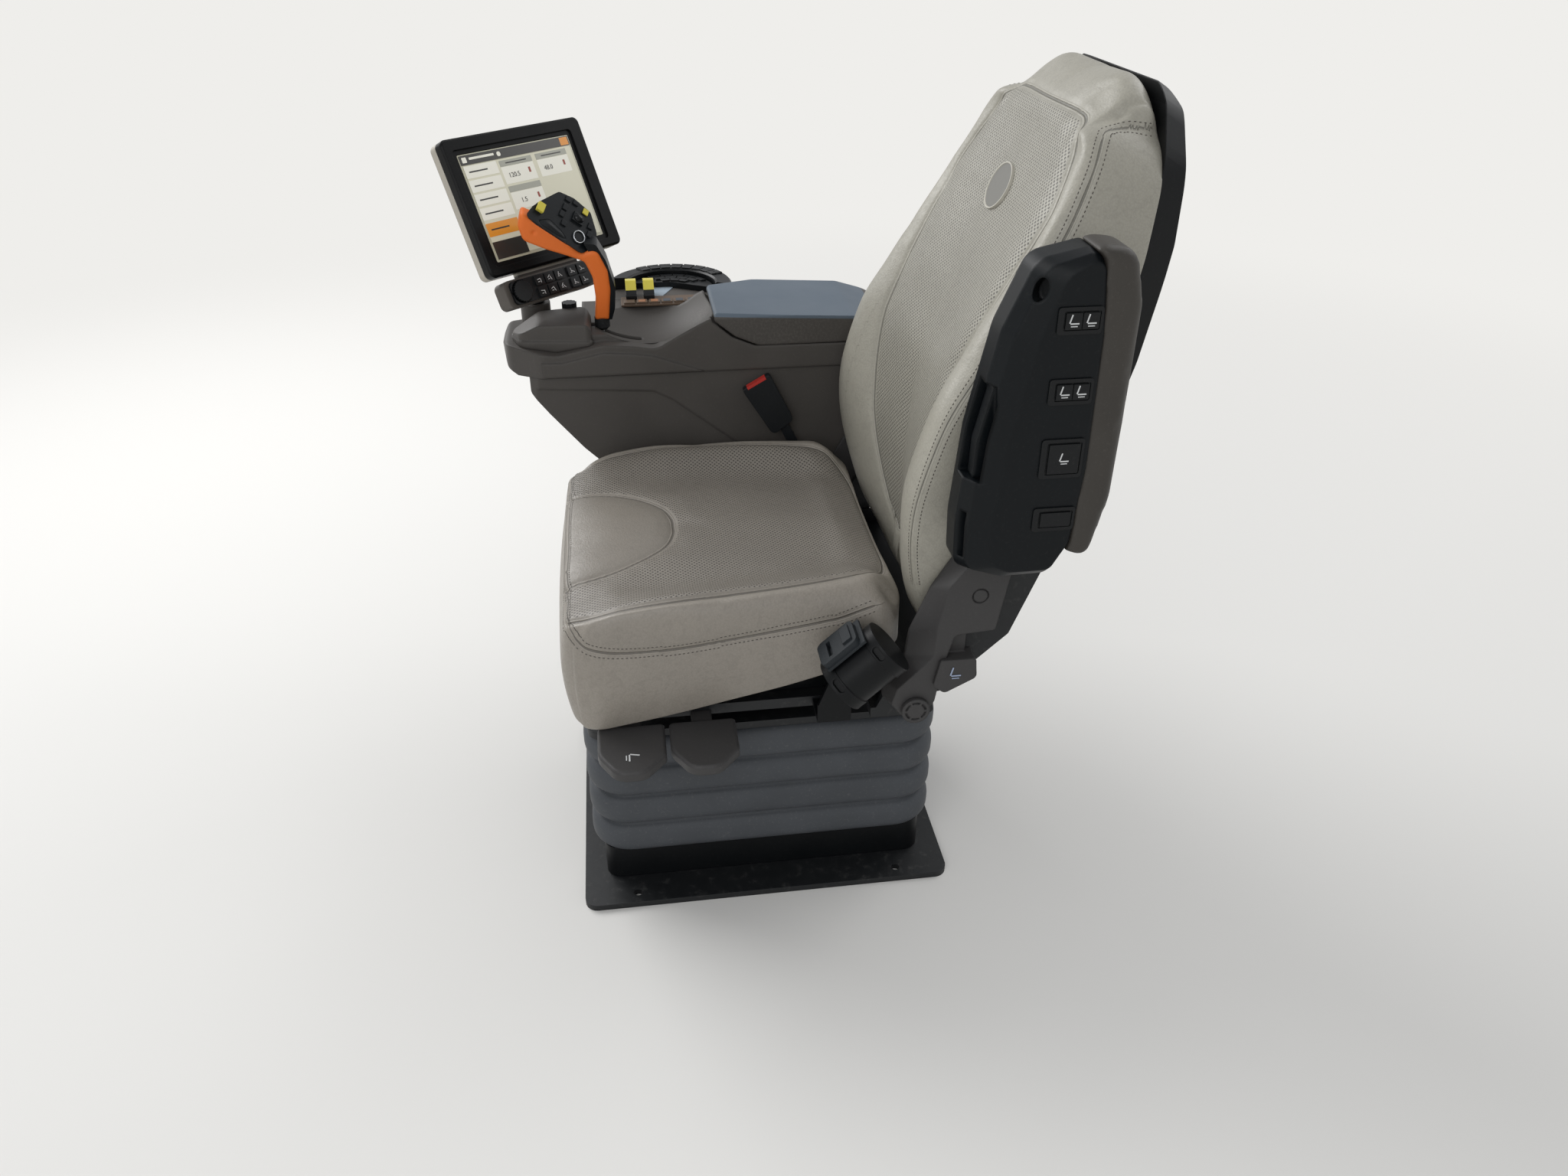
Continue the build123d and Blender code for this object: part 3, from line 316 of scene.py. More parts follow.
# POM: smooth hard black that catches a small bright highlight
keyPlastic = mouldedPlastic("pomKeys", "#0E1012", 0.36, grain=0.1, dust=0.03, edgeMm=0.8,
                            gloss=0.25)
paddlePlastic = mouldedPlastic("pomPaddles", "#101214", 0.36, grain=0.1, dust=0.03, edgeMm=1,
                               patches=[(placeOf((-488, -131, 716), (1, 0, 0), (0, 0, 1)),
                                         (30, 34, 7), (-4, 0, 25), yellowPaint)])
platePlastic = mouldedPlastic("pcKeyPlate", "#5A4A3C", 0.42, grain=0.1, dust=0.1)
# TPU: soft skin of even orange, black where it meets the control face
orangePlastic = mouldedPlastic("tpuSoftOrange", "#DE6F2C", 0.46, grain=0.3, mottle=0.04, edgeMm=4,
                               patches=[(controlFace, (34, 60, 14), (14, -10, 8), shellBlack),
                                        (controlFace, (9, 50, 13), (-26, 20, 9), shellBlack)])
headPlastic = mouldedPlastic("pomLeverShell", shellBlack, 0.34, grain=0.12, dust=0.03, edgeMm=1.2,
                             patches=[(controlFace, (7.4, 6, 5), (-8, 51, 6.4), yellowPaint),
                                      (controlFace, (5, 5, 3), (30, -16, 4), yellowPaint)],
                             gloss=0.25)
bezelPlastic = mouldedPlastic("abspcBezel", "#070809", 0.4, grain=0.15, dust=0.02, gloss=0.14)
tanPlastic = mouldedPlastic("absTanShell", "#ABA69B", 0.5, edgeMm=3,
                            patches=[(screenFace, (110, 26, 60), (-25, -131, 0), "#4C4742")])
# rubber: dull and pebbled, holding dust
bellowsRubber = mouldedPlastic("neopreneBellows", "#43464A", 0.58, grain=0.4, mottle=0.08,
                               dust=0.12)
bootRubber = mouldedPlastic("epdmBoot", "#17191B", 0.7, grain=0.5, dust=0.15)
buckleTop = placeOf((-263, 42, 639.5), (0, 0.87, 0.49), (0, -0.49, 0.87))
bucklePlastic = mouldedPlastic("polyamideBuckle", "#14171A", 0.4, dust=0.03,
                               patches=[(buckleTop, (17, 12, 4), (0, 0, 0), redPaint)])
webbing = mouldedPlastic("polyesterWebbing", "#1E2327", 0.6, grain=0.8)
frameSteel = steel("blackPaintedSteel", "#17191B", 0.5, 0.2, 0.12)
zincSteel = steel("zincPlatedSteel", "#A9ABAD", 0.35, 0.9, 0.3)
polishedSteel = steel("polishedSteel", "#C4C7CA", 0.18, 1.0, 0.1)
glass = newMaterial("coatedScreenGlass", "#B9B6A0", 0.22)[0]        # matt coated, under the picture

finishes = [
    (frameSteel, "floor_plate suspension_top turntable_plate seat_frame console_rail recliner_arms"),
    (zincSteel, "slide_rails console_carriage"),
    (polishedSteel, "lever_shaft"),
    (blackPlastic, "plinth cushion_pan belt_retractor back_shell armrest_bracket display_post"),
    (coverPlastic, "adjust_paddles side_cover_left side_cover_right pivot_cap recline_handle"),
    (consolePlastic, "console_base console_body nose_cover control_pod"),
    (keyPlastic, "armrest_switches keypad_arc keypad_inner display_keys display_dial"),
    (restPlastic, "armrest_housing"), (lidPlastic, "storage_lid"), (platePlastic, "control_plate"),
    (paddlePlastic, "throttle_paddles"), (orangePlastic, "lever_grip"), (headPlastic, "lever_head"),
    (bezelPlastic, "display_bezel"), (tanPlastic, "display_housing"), (glass, "display_screen"),
    (bellowsRubber, "suspension_bellows"), (bootRubber, "lever_boot"),
    (bucklePlastic, "belt_buckle"), (webbing, "belt_tongue"),
]
for material, names in finishes:
    for name in names.split():
        nodes[name].data.materials.clear()
        nodes[name].data.materials.append(material)
print("materials made")


# Floor, light and camera

studio = {
    "floorSize": 80,
    "floorColour": "#D8D7D4",
    "farColour": "#EFEEEB",      # what the camera sees of the floor away from the lamps
    "farFrom": 1.2,
    "farTo": 4.0,
    "worldColour": "#F2F3F5",
    "worldStrength": 0.62,
    "lampAim": (0, 0, 0.6),
}

bpy.context.scene.view_settings.view_transform = "Standard"
bpy.ops.mesh.primitive_plane_add(size=studio["floorSize"])
floor = bpy.context.object
floor.name = "studioFloor"
floorMaterial, floorShader = newMaterial("paintedFloor", studio["floorColour"], 0.9)
add = partial(addNode, floorMaterial)
seen = add("LightPath", output="Is Camera Ray")
for ray in ("Is Glossy Ray", "Is Transmission Ray"):
    seen = add("Math", [seen, add("LightPath", output=ray)], operation="MAXIMUM")
fromMiddle = add("VectorMath", [objectCoordinates(floorMaterial)], "Value", operation="LENGTH")
farAway = add("MapRange", [fromMiddle, studio["farFrom"], studio["farTo"], 0, 1],
              interpolation_type="SMOOTHSTEP")
glow = add("Emission", [linear(studio["farColour"])])
glowing = add("Math", [seen, farAway], operation="MULTIPLY")
setInputs(floorMaterial, floorMaterial.node_tree.nodes["Material Output"],
          {"Surface": add("MixShader", [glowing, floorShader.outputs[0], glow])})
floor.data.materials.append(floorMaterial)

world = bpy.data.worlds.new("studioWorld")
bpy.context.scene.world = world
world.use_nodes = True
sky = world.node_tree.nodes["Background"]
sky.inputs["Color"].default_value = linear(studio["worldColour"])
sky.inputs["Strength"].default_value = studio["worldStrength"]

lampTable = [
    # name, place, size, power
    ("windowLight", (-2.6, -2.4, 3.2), 3.0, 150),
    ("rearFill", (-1.2, 2.8, 3.0), 2.5, 40),
    ("cameraFill", (3.2, -1.4, 2.6), 2.5, 45),
]
for name, place, size, power in lampTable:
    lampData = bpy.data.lights.new(name, "AREA")
    lampData.size = size
    lampData.energy = power
    lamp = bpy.data.objects.new(name, lampData)
    lamp.location = place
    aim = Vector(studio["lampAim"]) - Vector(place)
    lamp.rotation_euler = aim.to_track_quat("-Z", "Y").to_euler()
    scene.collection.objects.link(lamp)

cameraValues = {
    "place": (1.5185, -0.1609, 1.3432),
    "heading": 172.0,        # degrees from +X towards +Y
    "down": 31.41,
    "roll": 0.18,
    "lens": 27.0,
}


def cameraMatrix():
    heading, down, roll = (math.radians(cameraValues[key]) for key in ("heading", "down", "roll"))
    level = Vector((math.cos(heading), math.sin(heading), 0))
    forward = level * math.cos(down) - Vector((0, 0, math.sin(down)))
    right = forward.cross(Vector((0, 0, 1))).normalized()
    upward = right.cross(forward)
    rolledRight = right * math.cos(roll) + upward * math.sin(roll)
    rolledUp = upward * math.cos(roll) - right * math.sin(roll)
    turned = Matrix((rolledRight, rolledUp, -forward)).transposed().to_4x4()
    return Matrix.Translation(cameraValues["place"]) @ turned


cameraData = bpy.data.cameras.new("photoCamera")
cameraData.sensor_width = 36
cameraData.lens = cameraValues["lens"]
cameraData.clip_end = 200
camera = bpy.data.objects.new("photoCamera", cameraData)
camera.matrix_world = cameraMatrix()
scene.collection.objects.link(camera)
bpy.context.scene.camera = camera
print("stage set")


# Mesh helpers

def finishPiece(bm, name, material, body, smooth=True):
    mesh = bpy.data.meshes.new(name)
    bm.to_mesh(mesh)
    bm.free()
    piece = bpy.data.objects.new(name, mesh)
    scene.collection.objects.link(piece)
    mesh.materials.append(material)
    if smooth:
        mesh.shade_smooth()
    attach(piece, body)
    return piece


def applyModifiers(piece):
    evaluated = piece.evaluated_get(bpy.context.evaluated_depsgraph_get())
    piece.data = bpy.data.meshes.new_from_object(evaluated)
    piece.modifiers.clear()


def evenCopy(node, name, material, body, voxelMm, rounds=0):
    # copy of a model part with an even mesh, its corners rounded by so many smoothing passes
    bm = bmesh.new()
    bm.from_mesh(nodes[node].data)
    bmesh.ops.remove_doubles(bm, verts=bm.verts, dist=0.01 * mm)
    piece = finishPiece(bm, name, material, body)
    remesher = piece.modifiers.new("even", "REMESH")
    remesher.mode = "VOXEL"
    remesher.voxel_size = voxelMm * mm
    smoother = piece.modifiers.new("round", "SMOOTH")
    smoother.iterations = rounds
    applyModifiers(piece)
    piece.data.shade_smooth()
    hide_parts(node)
    return piece


def pointsOf(made):
    # the vertices among what an extrusion made
    return [v for v in made if isinstance(v, bmesh.types.BMVert)]


def roundEdges(bm, edges, radiusMm, segments):
    bmesh.ops.bevel(bm, geom=edges, offset=radiusMm * mm, offset_type="OFFSET", segments=segments,
                    profile=0.5, affect="EDGES", material=-1)


def gridBlock(cuts):
    # closed block from -1 to 1 whose faces are cut into a grid along each axis
    bm = bmesh.new()
    bmesh.ops.create_cube(bm, size=2)
    for axis, count in enumerate(cuts):
        along = [e for e in bm.edges if abs(e.verts[0].co[axis] - e.verts[1].co[axis]) > 1e-6]
        bmesh.ops.subdivide_edges(bm, edges=along, cuts=count, use_grid_fill=True)
    return bm


def curveThrough(values, t):
    # smooth curve through evenly spaced values, for t from 0 to 1
    last = len(values) - 1
    at = min(max(t, 0.0), 1.0) * last
    i = min(int(at), last - 1)
    f = at - i
    p0, p1, p2, p3 = (values[min(max(i + k, 0), last)] for k in (-1, 0, 1, 2))
    return 0.5 * (2 * p1 + (p2 - p0) * f + (2 * p0 - 5 * p1 + 4 * p2 - p3) * f * f
                  + (3 * p1 - p0 - 3 * p2 + p3) * f ** 3)


def sampler(table):
    # smooth values of a table's columns at any station, worked out once per millimetre
    stations = [row[0] for row in table]
    first, last = stations[0], stations[-1]
    samples = []
    i = 0
    for key in range(first, last + 1):
        while key > stations[i + 1]:
            i += 1
        f = (key - stations[i]) / (stations[i + 1] - stations[i])
        rows = [table[min(max(i + k, 0), len(table) - 1)] for k in (-1, 0, 1, 2)]
        samples.append([curveThrough(column, (1 + f) / 3) for column in list(zip(*rows))[1:]])

    def at(key):
        k = min(max(key, first), last - 0.001) - first
        low, f = samples[int(k)], k - int(k)
        return [p + (q - p) * f for p, q in zip(low, samples[int(k) + 1])]
    return at


def roundCorner(x, y, edgeX, edgeY, radius):
    # pulls a square corner of a grid in to a round one
    dx, dy = x - (edgeX - radius), y - (edgeY - radius)
    if dx <= 0 or dy <= 0:
        return x, y
    k = max(dx, dy) / math.hypot(dx, dy)
    return edgeX - radius + dx * k, edgeY - radius + dy * k


def smoothLine(points, step):
    # points at even steps along a smooth line through the given ones
    line = []
    columns = list(zip(*points))
    for i in range(len(points) - 1):
        count = max(2, int((Vector(points[i + 1]) - Vector(points[i])).length / step))
        for k in range(count):
            t = (i + k / count) / (len(points) - 1)
            line.append(Vector([curveThrough(column, t) for column in columns]))
    line.append(Vector(points[-1]))
    return line


def treeOf(line):
    tree = kdtree.KDTree(len(line))
    for i, point in enumerate(line):
        tree.insert(point, i)
    tree.balance()
    return tree


def lineDistance(points):
    # signed distance from a line in a plane, positive to its left
    line = smoothLine(points, 1.0)
    tree = treeOf([(*point, 0) for point in line])

    def measure(x, y):
        near, i, far = tree.find((x, y, 0))
        along = line[min(i + 1, len(line) - 1)] - line[max(i - 1, 0)]
        return math.copysign(far, along[0] * (y - near[1]) - along[1] * (x - near[0]))
    return measure


def seamDistance(line, sign):
    # distance from a line in space, its sign worked out from the point and the nearest one
    tree = treeOf(line)

    def measure(point):
        near, i, far = tree.find(point)
        return math.copysign(far, sign(point, near))
    return measure


foamCover = {
    "pressure": 4.0,
    "lastFrame": 20,
    "outerHold": 0.85,       # how firmly a point beside the outer seam is held, from 0 to 1
    "innerHold": 0.6,        # and one beside the seams of the insert and the thigh pad,
    "innerReach": 6,         # so far from them in mm
}


def inflate(piece, held, cap):
    # foam pushing its cover out between the seams, by no more than the cap
    start = [v.co.copy() for v in piece.data.vertices]
    pins = piece.vertex_groups.new(name="held")
    for index, weight in held.items():
        pins.add([index], weight, "REPLACE")
    cloth = piece.modifiers.new("cover", "CLOTH")
    settings = cloth.settings
    settings.quality = 3
    settings.mass = 0.3
    settings.tension_stiffness = settings.compression_stiffness = 12
    settings.shear_stiffness = 6
    settings.bending_stiffness = 1.5
    settings.use_pressure = True
    settings.uniform_pressure_force = foamCover["pressure"]
    settings.vertex_group_mass = "held"
    settings.effector_weights.gravity = 0
    scene.frame_start, scene.frame_end = 1, foamCover["lastFrame"]
    for frameNumber in range(1, foamCover["lastFrame"] + 1):
        scene.frame_set(frameNumber)
    evaluated = piece.evaluated_get(bpy.context.evaluated_depsgraph_get())
    moved = [v.co.copy() for v in evaluated.data.vertices]
    piece.modifiers.remove(cloth)
    for vertex, old, new in zip(piece.data.vertices, start, moved):
        shift = new - old
        if shift.length > cap:
            shift *= cap / shift.length
        vertex.co = old + shift
    piece.vertex_groups.clear()
    scene.frame_set(1)


def subdivide(piece, times):
    divider = piece.modifiers.new("finer", "SUBSURF")
    divider.levels = divider.render_levels = times
    applyModifiers(piece)


def sculpt(mesh, carve):
    # carve(point, normal) gives how deep a point is pressed in, in mm, and its seam distances
    surface = [(v.co.copy(), v.normal.copy()) for v in mesh.vertices]
    carved = [carve(point, normal) for point, normal in surface]
    moved = [c for (point, normal), row in zip(surface, carved) for c in point - normal * row[0] * mm]
    mesh.vertices.foreach_set("co", moved)
    for column, name in enumerate(("insertEdge", "padEdge", "seamEdge"), 1):
        attribute = mesh.attributes.new(name, "FLOAT", "POINT")
        attribute.data.foreach_set("value", [row[column] for row in carved])
    mesh.update()
    mesh.shade_smooth()


def surfaceOf(piece):
    mesh = piece.data
    return bvhtree.BVHTree.FromPolygons([v.co for v in mesh.vertices],
                                        [p.vertices for p in mesh.polygons])


sewing = {
    "pitch": 4.8,
    "half": (1.9, 0.75, 0.55),
    "offset": 7.5,           # from the seam to the thread on each side
    "innerWidth": 5,         # how wide the seams of the insert and the pad pull the leather in
    "outerWidth": 4,
    "outerDepth": 2,
}


def pulledIn(inner, outer, innerDepth):
    # how deep the seams pull the leather in, from the distances to them
    return (innerDepth * math.exp(-(inner / sewing["innerWidth"]) ** 2)
            + sewing["outerDepth"] * math.exp(-(outer / sewing["outerWidth"]) ** 2))


def waves(x, y, across, along, start):
    # slow random rise and fall of slack leather, the same each run
    return noise.noise(Vector((x * across, y * along, start)))


def sewBeside(piece, name, lines, body):
    # a row of thread on each side of each seam line, laid on the finished surface
    bm = bmesh.new()
    surface = surfaceOf(piece)
    size = Matrix.Diagonal((*(h * mm for h in sewing["half"]), 1))
    for line in lines:
        steps = smoothLine(line, sewing["pitch"] * mm)
        for before, here, after in zip(steps, steps[1:], steps[2:]):
            along = (after - before).normalized()
            onSeam, out, _, _ = surface.find_nearest(here)
            across = out.cross(along).normalized()
            for offset in (-sewing["offset"], sewing["offset"]):
                spot, normal, _, _ = surface.find_nearest(onSeam + across * offset * mm)
                flat = (along - normal * along.dot(normal)).normalized()
                turned = Matrix((flat, normal.cross(flat), normal)).transposed().to_4x4()
                bmesh.ops.create_icosphere(bm, subdivisions=1, radius=1,
                                           matrix=Matrix.Translation(spot) @ turned @ size)
    return finishPiece(bm, name, threadMaterial, body)


threadMaterial = mouldedPlastic("polyesterThread", "#4E4A45", 0.6, grain=0.2, edgeMm=0.2)


# Seat cushion

cushion = {
    # y, then the heights of centre, quarter and trough, crease x and z, side seam x and z, floor z
    "sections": [
        (-266, 519, 517, 512, 214, 512, 253, 500, 356),
        (-245, 526, 524, 517, 224, 520, 254, 491, 358),
        (-200, 529, 526, 519, 232, 534, 255, 482, 366),
        (-130, 527, 524, 519, 234, 543, 255, 482, 378),
        (-55, 524, 521, 519, 231, 545, 255, 490, 394),
        (20, 521, 518, 518, 225, 547, 255, 500, 410),
        (95, 518, 516, 517, 213, 547, 254, 511, 428),
        (146, 519, 519, 522, 200, 545, 253, 527, 438),
        (182, 508, 509, 514, 184, 516, 249, 512, 446),
    ],
    "frontCorner": 46,
    "rearCorner": 50,
    "frontBulge": 15,
    "sideBulge": 4,
    "crownShare": 0.55,      # the crown between the crease and the side seam
    "crownOut": 4,
    "crownRise": -7,         # from the crease's height
    # the sewn edge of the pierced panel and of the smooth thigh pad, seen from above
    "insert": [(214, -270), (222, -250), (232, -215), (235, -170), (236, -125), (232, -54),
               (226, 18), (215, 80), (200, 128), (178, 158), (140, 172), (90, 177), (0, 178)],
    "pad": [(140, -275), (133, -255), (129, -230), (117, -195), (92, -157), (58, -125), (25, -113),
            (0, -111)],
    "seamDepth": 3.0,
    "foldDepth": 2.6,
    "foldNoise": (0.011, 0.004, 4.2),      # waves per mm across and along, and where they start
    "padRise": 2.2,
    "swell": 8,
    "heldBase": 12,          # this much above the floor stays put while the foam swells,
    "heldSeam": 8,           # and this much beside the outer seam
}
cushionAt = sampler(cushion["sections"])
cushionFront, cushionRear = cushion["sections"][0][0], cushion["sections"][-1][0]


def cushionPoint(a, b, c):
    # a point of the block from shares of its width, depth and height, the crease at 0.6 of the width
    y = cushionFront + (b + 1) / 2 * (cushionRear - cushionFront)
    side = -1 if a < 0 else 1
    centre, quarter, trough, creaseX, creaseZ, seamX, seamZ, floorZ = cushionAt(y)
    crownX = creaseX + cushion["crownShare"] * (seamX - creaseX) + cushion["crownOut"]
    crownZ = creaseZ + cushion["crownRise"]
    x = curveThrough([0, creaseX * 0.35, creaseX * 0.7, creaseX, crownX, seamX], abs(a))
    z = curveThrough([centre, quarter, trough, creaseZ, crownZ, seamZ], abs(a))
    if y < (cushionFront + cushionRear) / 2:
        x, back = roundCorner(x, -y, seamX, -cushionFront, cushion["frontCorner"])
        y = -back
    else:
        x, y = roundCorner(x, y, seamX, cushionRear, cushion["rearCorner"])
    if abs(a) > 0.999 or abs(b) > 0.999:
        h = (c + 1) / 2
        bow = 4 * h * (1 - h)
        if abs(a) > 0.999:
            x += cushion["sideBulge"] * bow
        if b < -0.999:
            fuller = 0.55 + 0.45 * math.cos(math.pi * min(abs(a), 1) / 1.4)      # towards the middle
            y -= cushion["frontBulge"] * fuller * bow
        return Vector((side * x, y, floorZ + (z - floorZ) * h)) * mm
    return Vector((side * x, y, floorZ if c < 0 else z)) * mm


def mirroredLine(points):
    return points + [(-x, y) for x, y in reversed(points[:-1])]


def cushionSeam():
    # the edge between the top and the sides, from the left rear round the front to the right rear
    corners = [(-1, 0.8 - k * 0.1) for k in range(18)] + [(-1, -0.97)]
    corners += [(-0.97, -1)] + [(-0.9 + k * 0.1, -1) for k in range(19)] + [(0.97, -1)]
    corners += [(1, -0.97)] + [(1, -0.9 + k * 0.1) for k in range(18)]
    return [cushionPoint(a, b, 1) for a, b in corners]


def makeCushion():
    bm = gridBlock(((40, 38, 10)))
    for vertex in bm.verts:
        vertex.co = cushionPoint(*vertex.co)
    bmesh.ops.recalc_face_normals(bm, faces=bm.faces)
    piece = finishPiece(bm, "seatCushion", cushionLeather, "seat")
    insertAway = lineDistance(mirroredLine(cushion["insert"]))
    padAway = lineDistance(mirroredLine(cushion["pad"]))
    seam = seamDistance(smoothLine(cushionSeam(), mm), lambda point, near: point.z - near.z)
    held = {}
    for vertex in piece.data.vertices:
        x, y, z = vertex.co / mm
        if z < cushionAt(y)[7] + cushion["heldBase"]:
            held[vertex.index] = 1.0
        elif abs(seam(vertex.co)) < cushion["heldSeam"] * mm:
            held[vertex.index] = foamCover["outerHold"]
        elif (vertex.normal.z > 0.3
              and min(abs(insertAway(x, y)), abs(padAway(x, y))) < foamCover["innerReach"]):
            held[vertex.index] = foamCover["innerHold"]
    inflate(piece, held, cushion["swell"] * mm)
    subdivide(piece, 2)

    def carve(point, normal):
        x, y, _ = point / mm
        insert, pad, sewn = insertAway(x, y), padAway(x, y), seam(point) / mm
        if sewn < 1 and normal.z < 0.5:
            insert, pad = -99, -99
        depth = pulledIn(min(abs(insert), abs(pad)), sewn, cushion["seamDepth"])
        if insert > 0:
            fold = waves(x, y, *cushion["foldNoise"])
            depth -= cushion["foldDepth"] * fold * min(1, insert / 50)
        if pad > 0:
            depth -= cushion["padRise"] * min(1, pad / 25)
        return depth, insert, pad, sewn

    sculpt(piece.data, carve)
    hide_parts("seat_cushion")
    return piece


# painted shade: the cushion's leather is drawn darker than the back's, though both are one leather
cushionLeather = seatLeather("leatherShadedCushion", "#8B857C", (0, 0, math.radians(45)), 0.16, 0.34)
seatCushion = makeCushion()
sewBeside(seatCushion, "cushionStitches", [cushionSeam()], "seat")
print("cushion made")


# Backrest cushion, drawn upright as x, rearward r and up s from the recline axis

backrest = {
    "lean": 17,
    "axis": (0, 0.187, 0.389),
    # s, then r of centre, quarter and trough, crease x and r, crown r, side seam x and r, rear r
    "sections": [
        (52, 28, 28, 28, 20, 27, 24, 222, 24, 56),
        (108, 9, 9, 7, 26, 6, -15, 236, -17, 60),
        (160, -13, -14, -18, 66, -20, -48, 252, -51, 66),
        (216, -28, -32, -38, 110, -43, -76, 257, -76, 72),
        (275, -38, -44, -52, 136, -60, -94, 258, -89, 79),
        (378, -52, -58, -66, 165, -75, -97, 254, -88, 83),
        (440, -50, -54, -62, 176, -70, -84, 248, -72, 85),
        (506, -44, -47, -53, 182, -60, -68, 241, -53, 86),
        (620, -30, -31, -34, 186, -38, -42, 224, -25, 80),
        (700, -19, -20, -21, 160, -24, -30, 205, -15, 72),
        (740, -15, -16, -17, 140, -20, -26, 192, -8, 66),
        (776, 2, 2, 3, 120, 4, 4, 176, 16, 60),
    ],
    "topCorner": 96,
    "lowCorner": 40,
    "headBulge": 22,
    "sideBulge": 4,
    "insert": [(0, 741), (100, 741), (128, 735), (143, 718), (160, 690), (178, 650), (186, 620),
               (184, 560), (180, 506), (165, 378), (136, 275), (110, 216), (64, 160), (30, 128),
               (0, 116)],
    "seamDepth": 3.2,
    "foldDepth": 5,
    "foldNoise": (0.011, 0.0032, 1.7),
    "swell": 8,
    "heldBase": 10,
    "heldSeam": 7,
}
backAt = sampler(backrest["sections"])
lowS, highS = backrest["sections"][0][0], backrest["sections"][-1][0]
uprightToSeat = (Matrix.Translation(backrest["axis"])
                 @ Matrix.Rotation(math.radians(-backrest["lean"]), 4, "X"))


def backPoint(a, b, c):
    # a point of the block from shares of its width, height and thickness
    s = lowS + (b + 1) / 2 * (highS - lowS)
    side = -1 if a < 0 else 1
    centre, quarter, trough, creaseX, creaseR, crownR, seamX, seamR, rear = backAt(s)
    crownX = creaseX + 0.6 * (seamX - creaseX)
    x = curveThrough([0, creaseX * 0.4, creaseX * 0.75, creaseX, crownX, seamX], abs(a))
    r = curveThrough([centre, quarter, trough, creaseR, crownR, seamR], abs(a))
    if s > (lowS + highS) / 2:
        x, s = roundCorner(x, s, seamX, highS, backrest["topCorner"])
    else:
        x, down = roundCorner(x, -s, seamX, -lowS, backrest["lowCorner"])
        s = -down
    rear = backAt(s)[8]
    if abs(a) > 0.999 or abs(b) > 0.999:
        h = (c + 1) / 2
        bow = 4 * h * (1 - h)
        if b > 0.999:
            s += backrest["headBulge"] * bow
        if abs(a) > 0.999:
            x += backrest["sideBulge"] * bow
        return Vector((side * x, rear + (r - rear) * h, s)) * mm
    return Vector((side * x, rear if c < 0 else r, s)) * mm


def backSeam(side):
    # up the side of the back, then rearwards over the side of the head
    stations = [-0.72 + k * 0.1 for k in range(17)] + [0.92]
    up = [backPoint(side, b, 1) for b in stations]
    over = [backPoint(side, 0.955, 0.55), backPoint(side, 0.97, 0.0), backPoint(side, 0.98, -0.6)]
    return [uprightToSeat @ point for point in up + over]


def makeBackrest():
    bm = gridBlock(((38, 8, 50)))
    for vertex in bm.verts:
        a, c, b = vertex.co
        vertex.co = backPoint(a, b, -c)
    bmesh.ops.recalc_face_normals(bm, faces=bm.faces)
    bmesh.ops.transform(bm, matrix=uprightToSeat, verts=bm.verts)
    piece = finishPiece(bm, "backCushion", backLeather, "backrest")
    toUpright = uprightToSeat.inverted()
    half = backrest["insert"]
    insertAway = lineDistance([(-x, s) for x, s in reversed(half[1:])] + half)
    lines = [point for side in (-1, 1) for point in smoothLine(backSeam(side), mm)]
    seam = seamDistance(lines, lambda point, near: (toUpright @ near).y - (toUpright @ point).y)
    held = {}
    for vertex in piece.data.vertices:
        x, r, s = toUpright @ vertex.co / mm
        facing = (toUpright.to_3x3() @ vertex.normal).y < -0.3
        if r > backAt(s)[8] - backrest["heldBase"]:
            held[vertex.index] = 1.0
        elif abs(seam(vertex.co)) < backrest["heldSeam"] * mm:
            held[vertex.index] = foamCover["outerHold"]
        elif facing and abs(insertAway(x, s)) < foamCover["innerReach"]:
            held[vertex.index] = foamCover["innerHold"]
    inflate(piece, held, backrest["swell"] * mm)
    subdivide(piece, 2)

    def carve(point, normal):
        x, r, s = toUpright @ point / mm
        sewn = seam(point) / mm
        facing = (toUpright.to_3x3() @ normal).y < -0.2
        insert = -insertAway(x, s) if facing else -99
        depth = pulledIn(insert, sewn, backrest["seamDepth"])
        if insert > 0:
            fold = waves(x, s, *backrest["foldNoise"])
            depth -= backrest["foldDepth"] * fold * min(1, insert / 60)
        return depth, insert, -99, sewn

    sculpt(piece.data, carve)
    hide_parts("back_cushion")
    return piece


badge = {
    "middle": (0, -31, 621),       # x, r and s
    "half": (38, 31),
    "thick": 4.2,
    "sunk": 1.6,                   # how much of the thickness lies in the leather
    "rim": 1.7,
    "slope": 0.6,                  # from the rim down to the face
    "dish": 1.1,
}


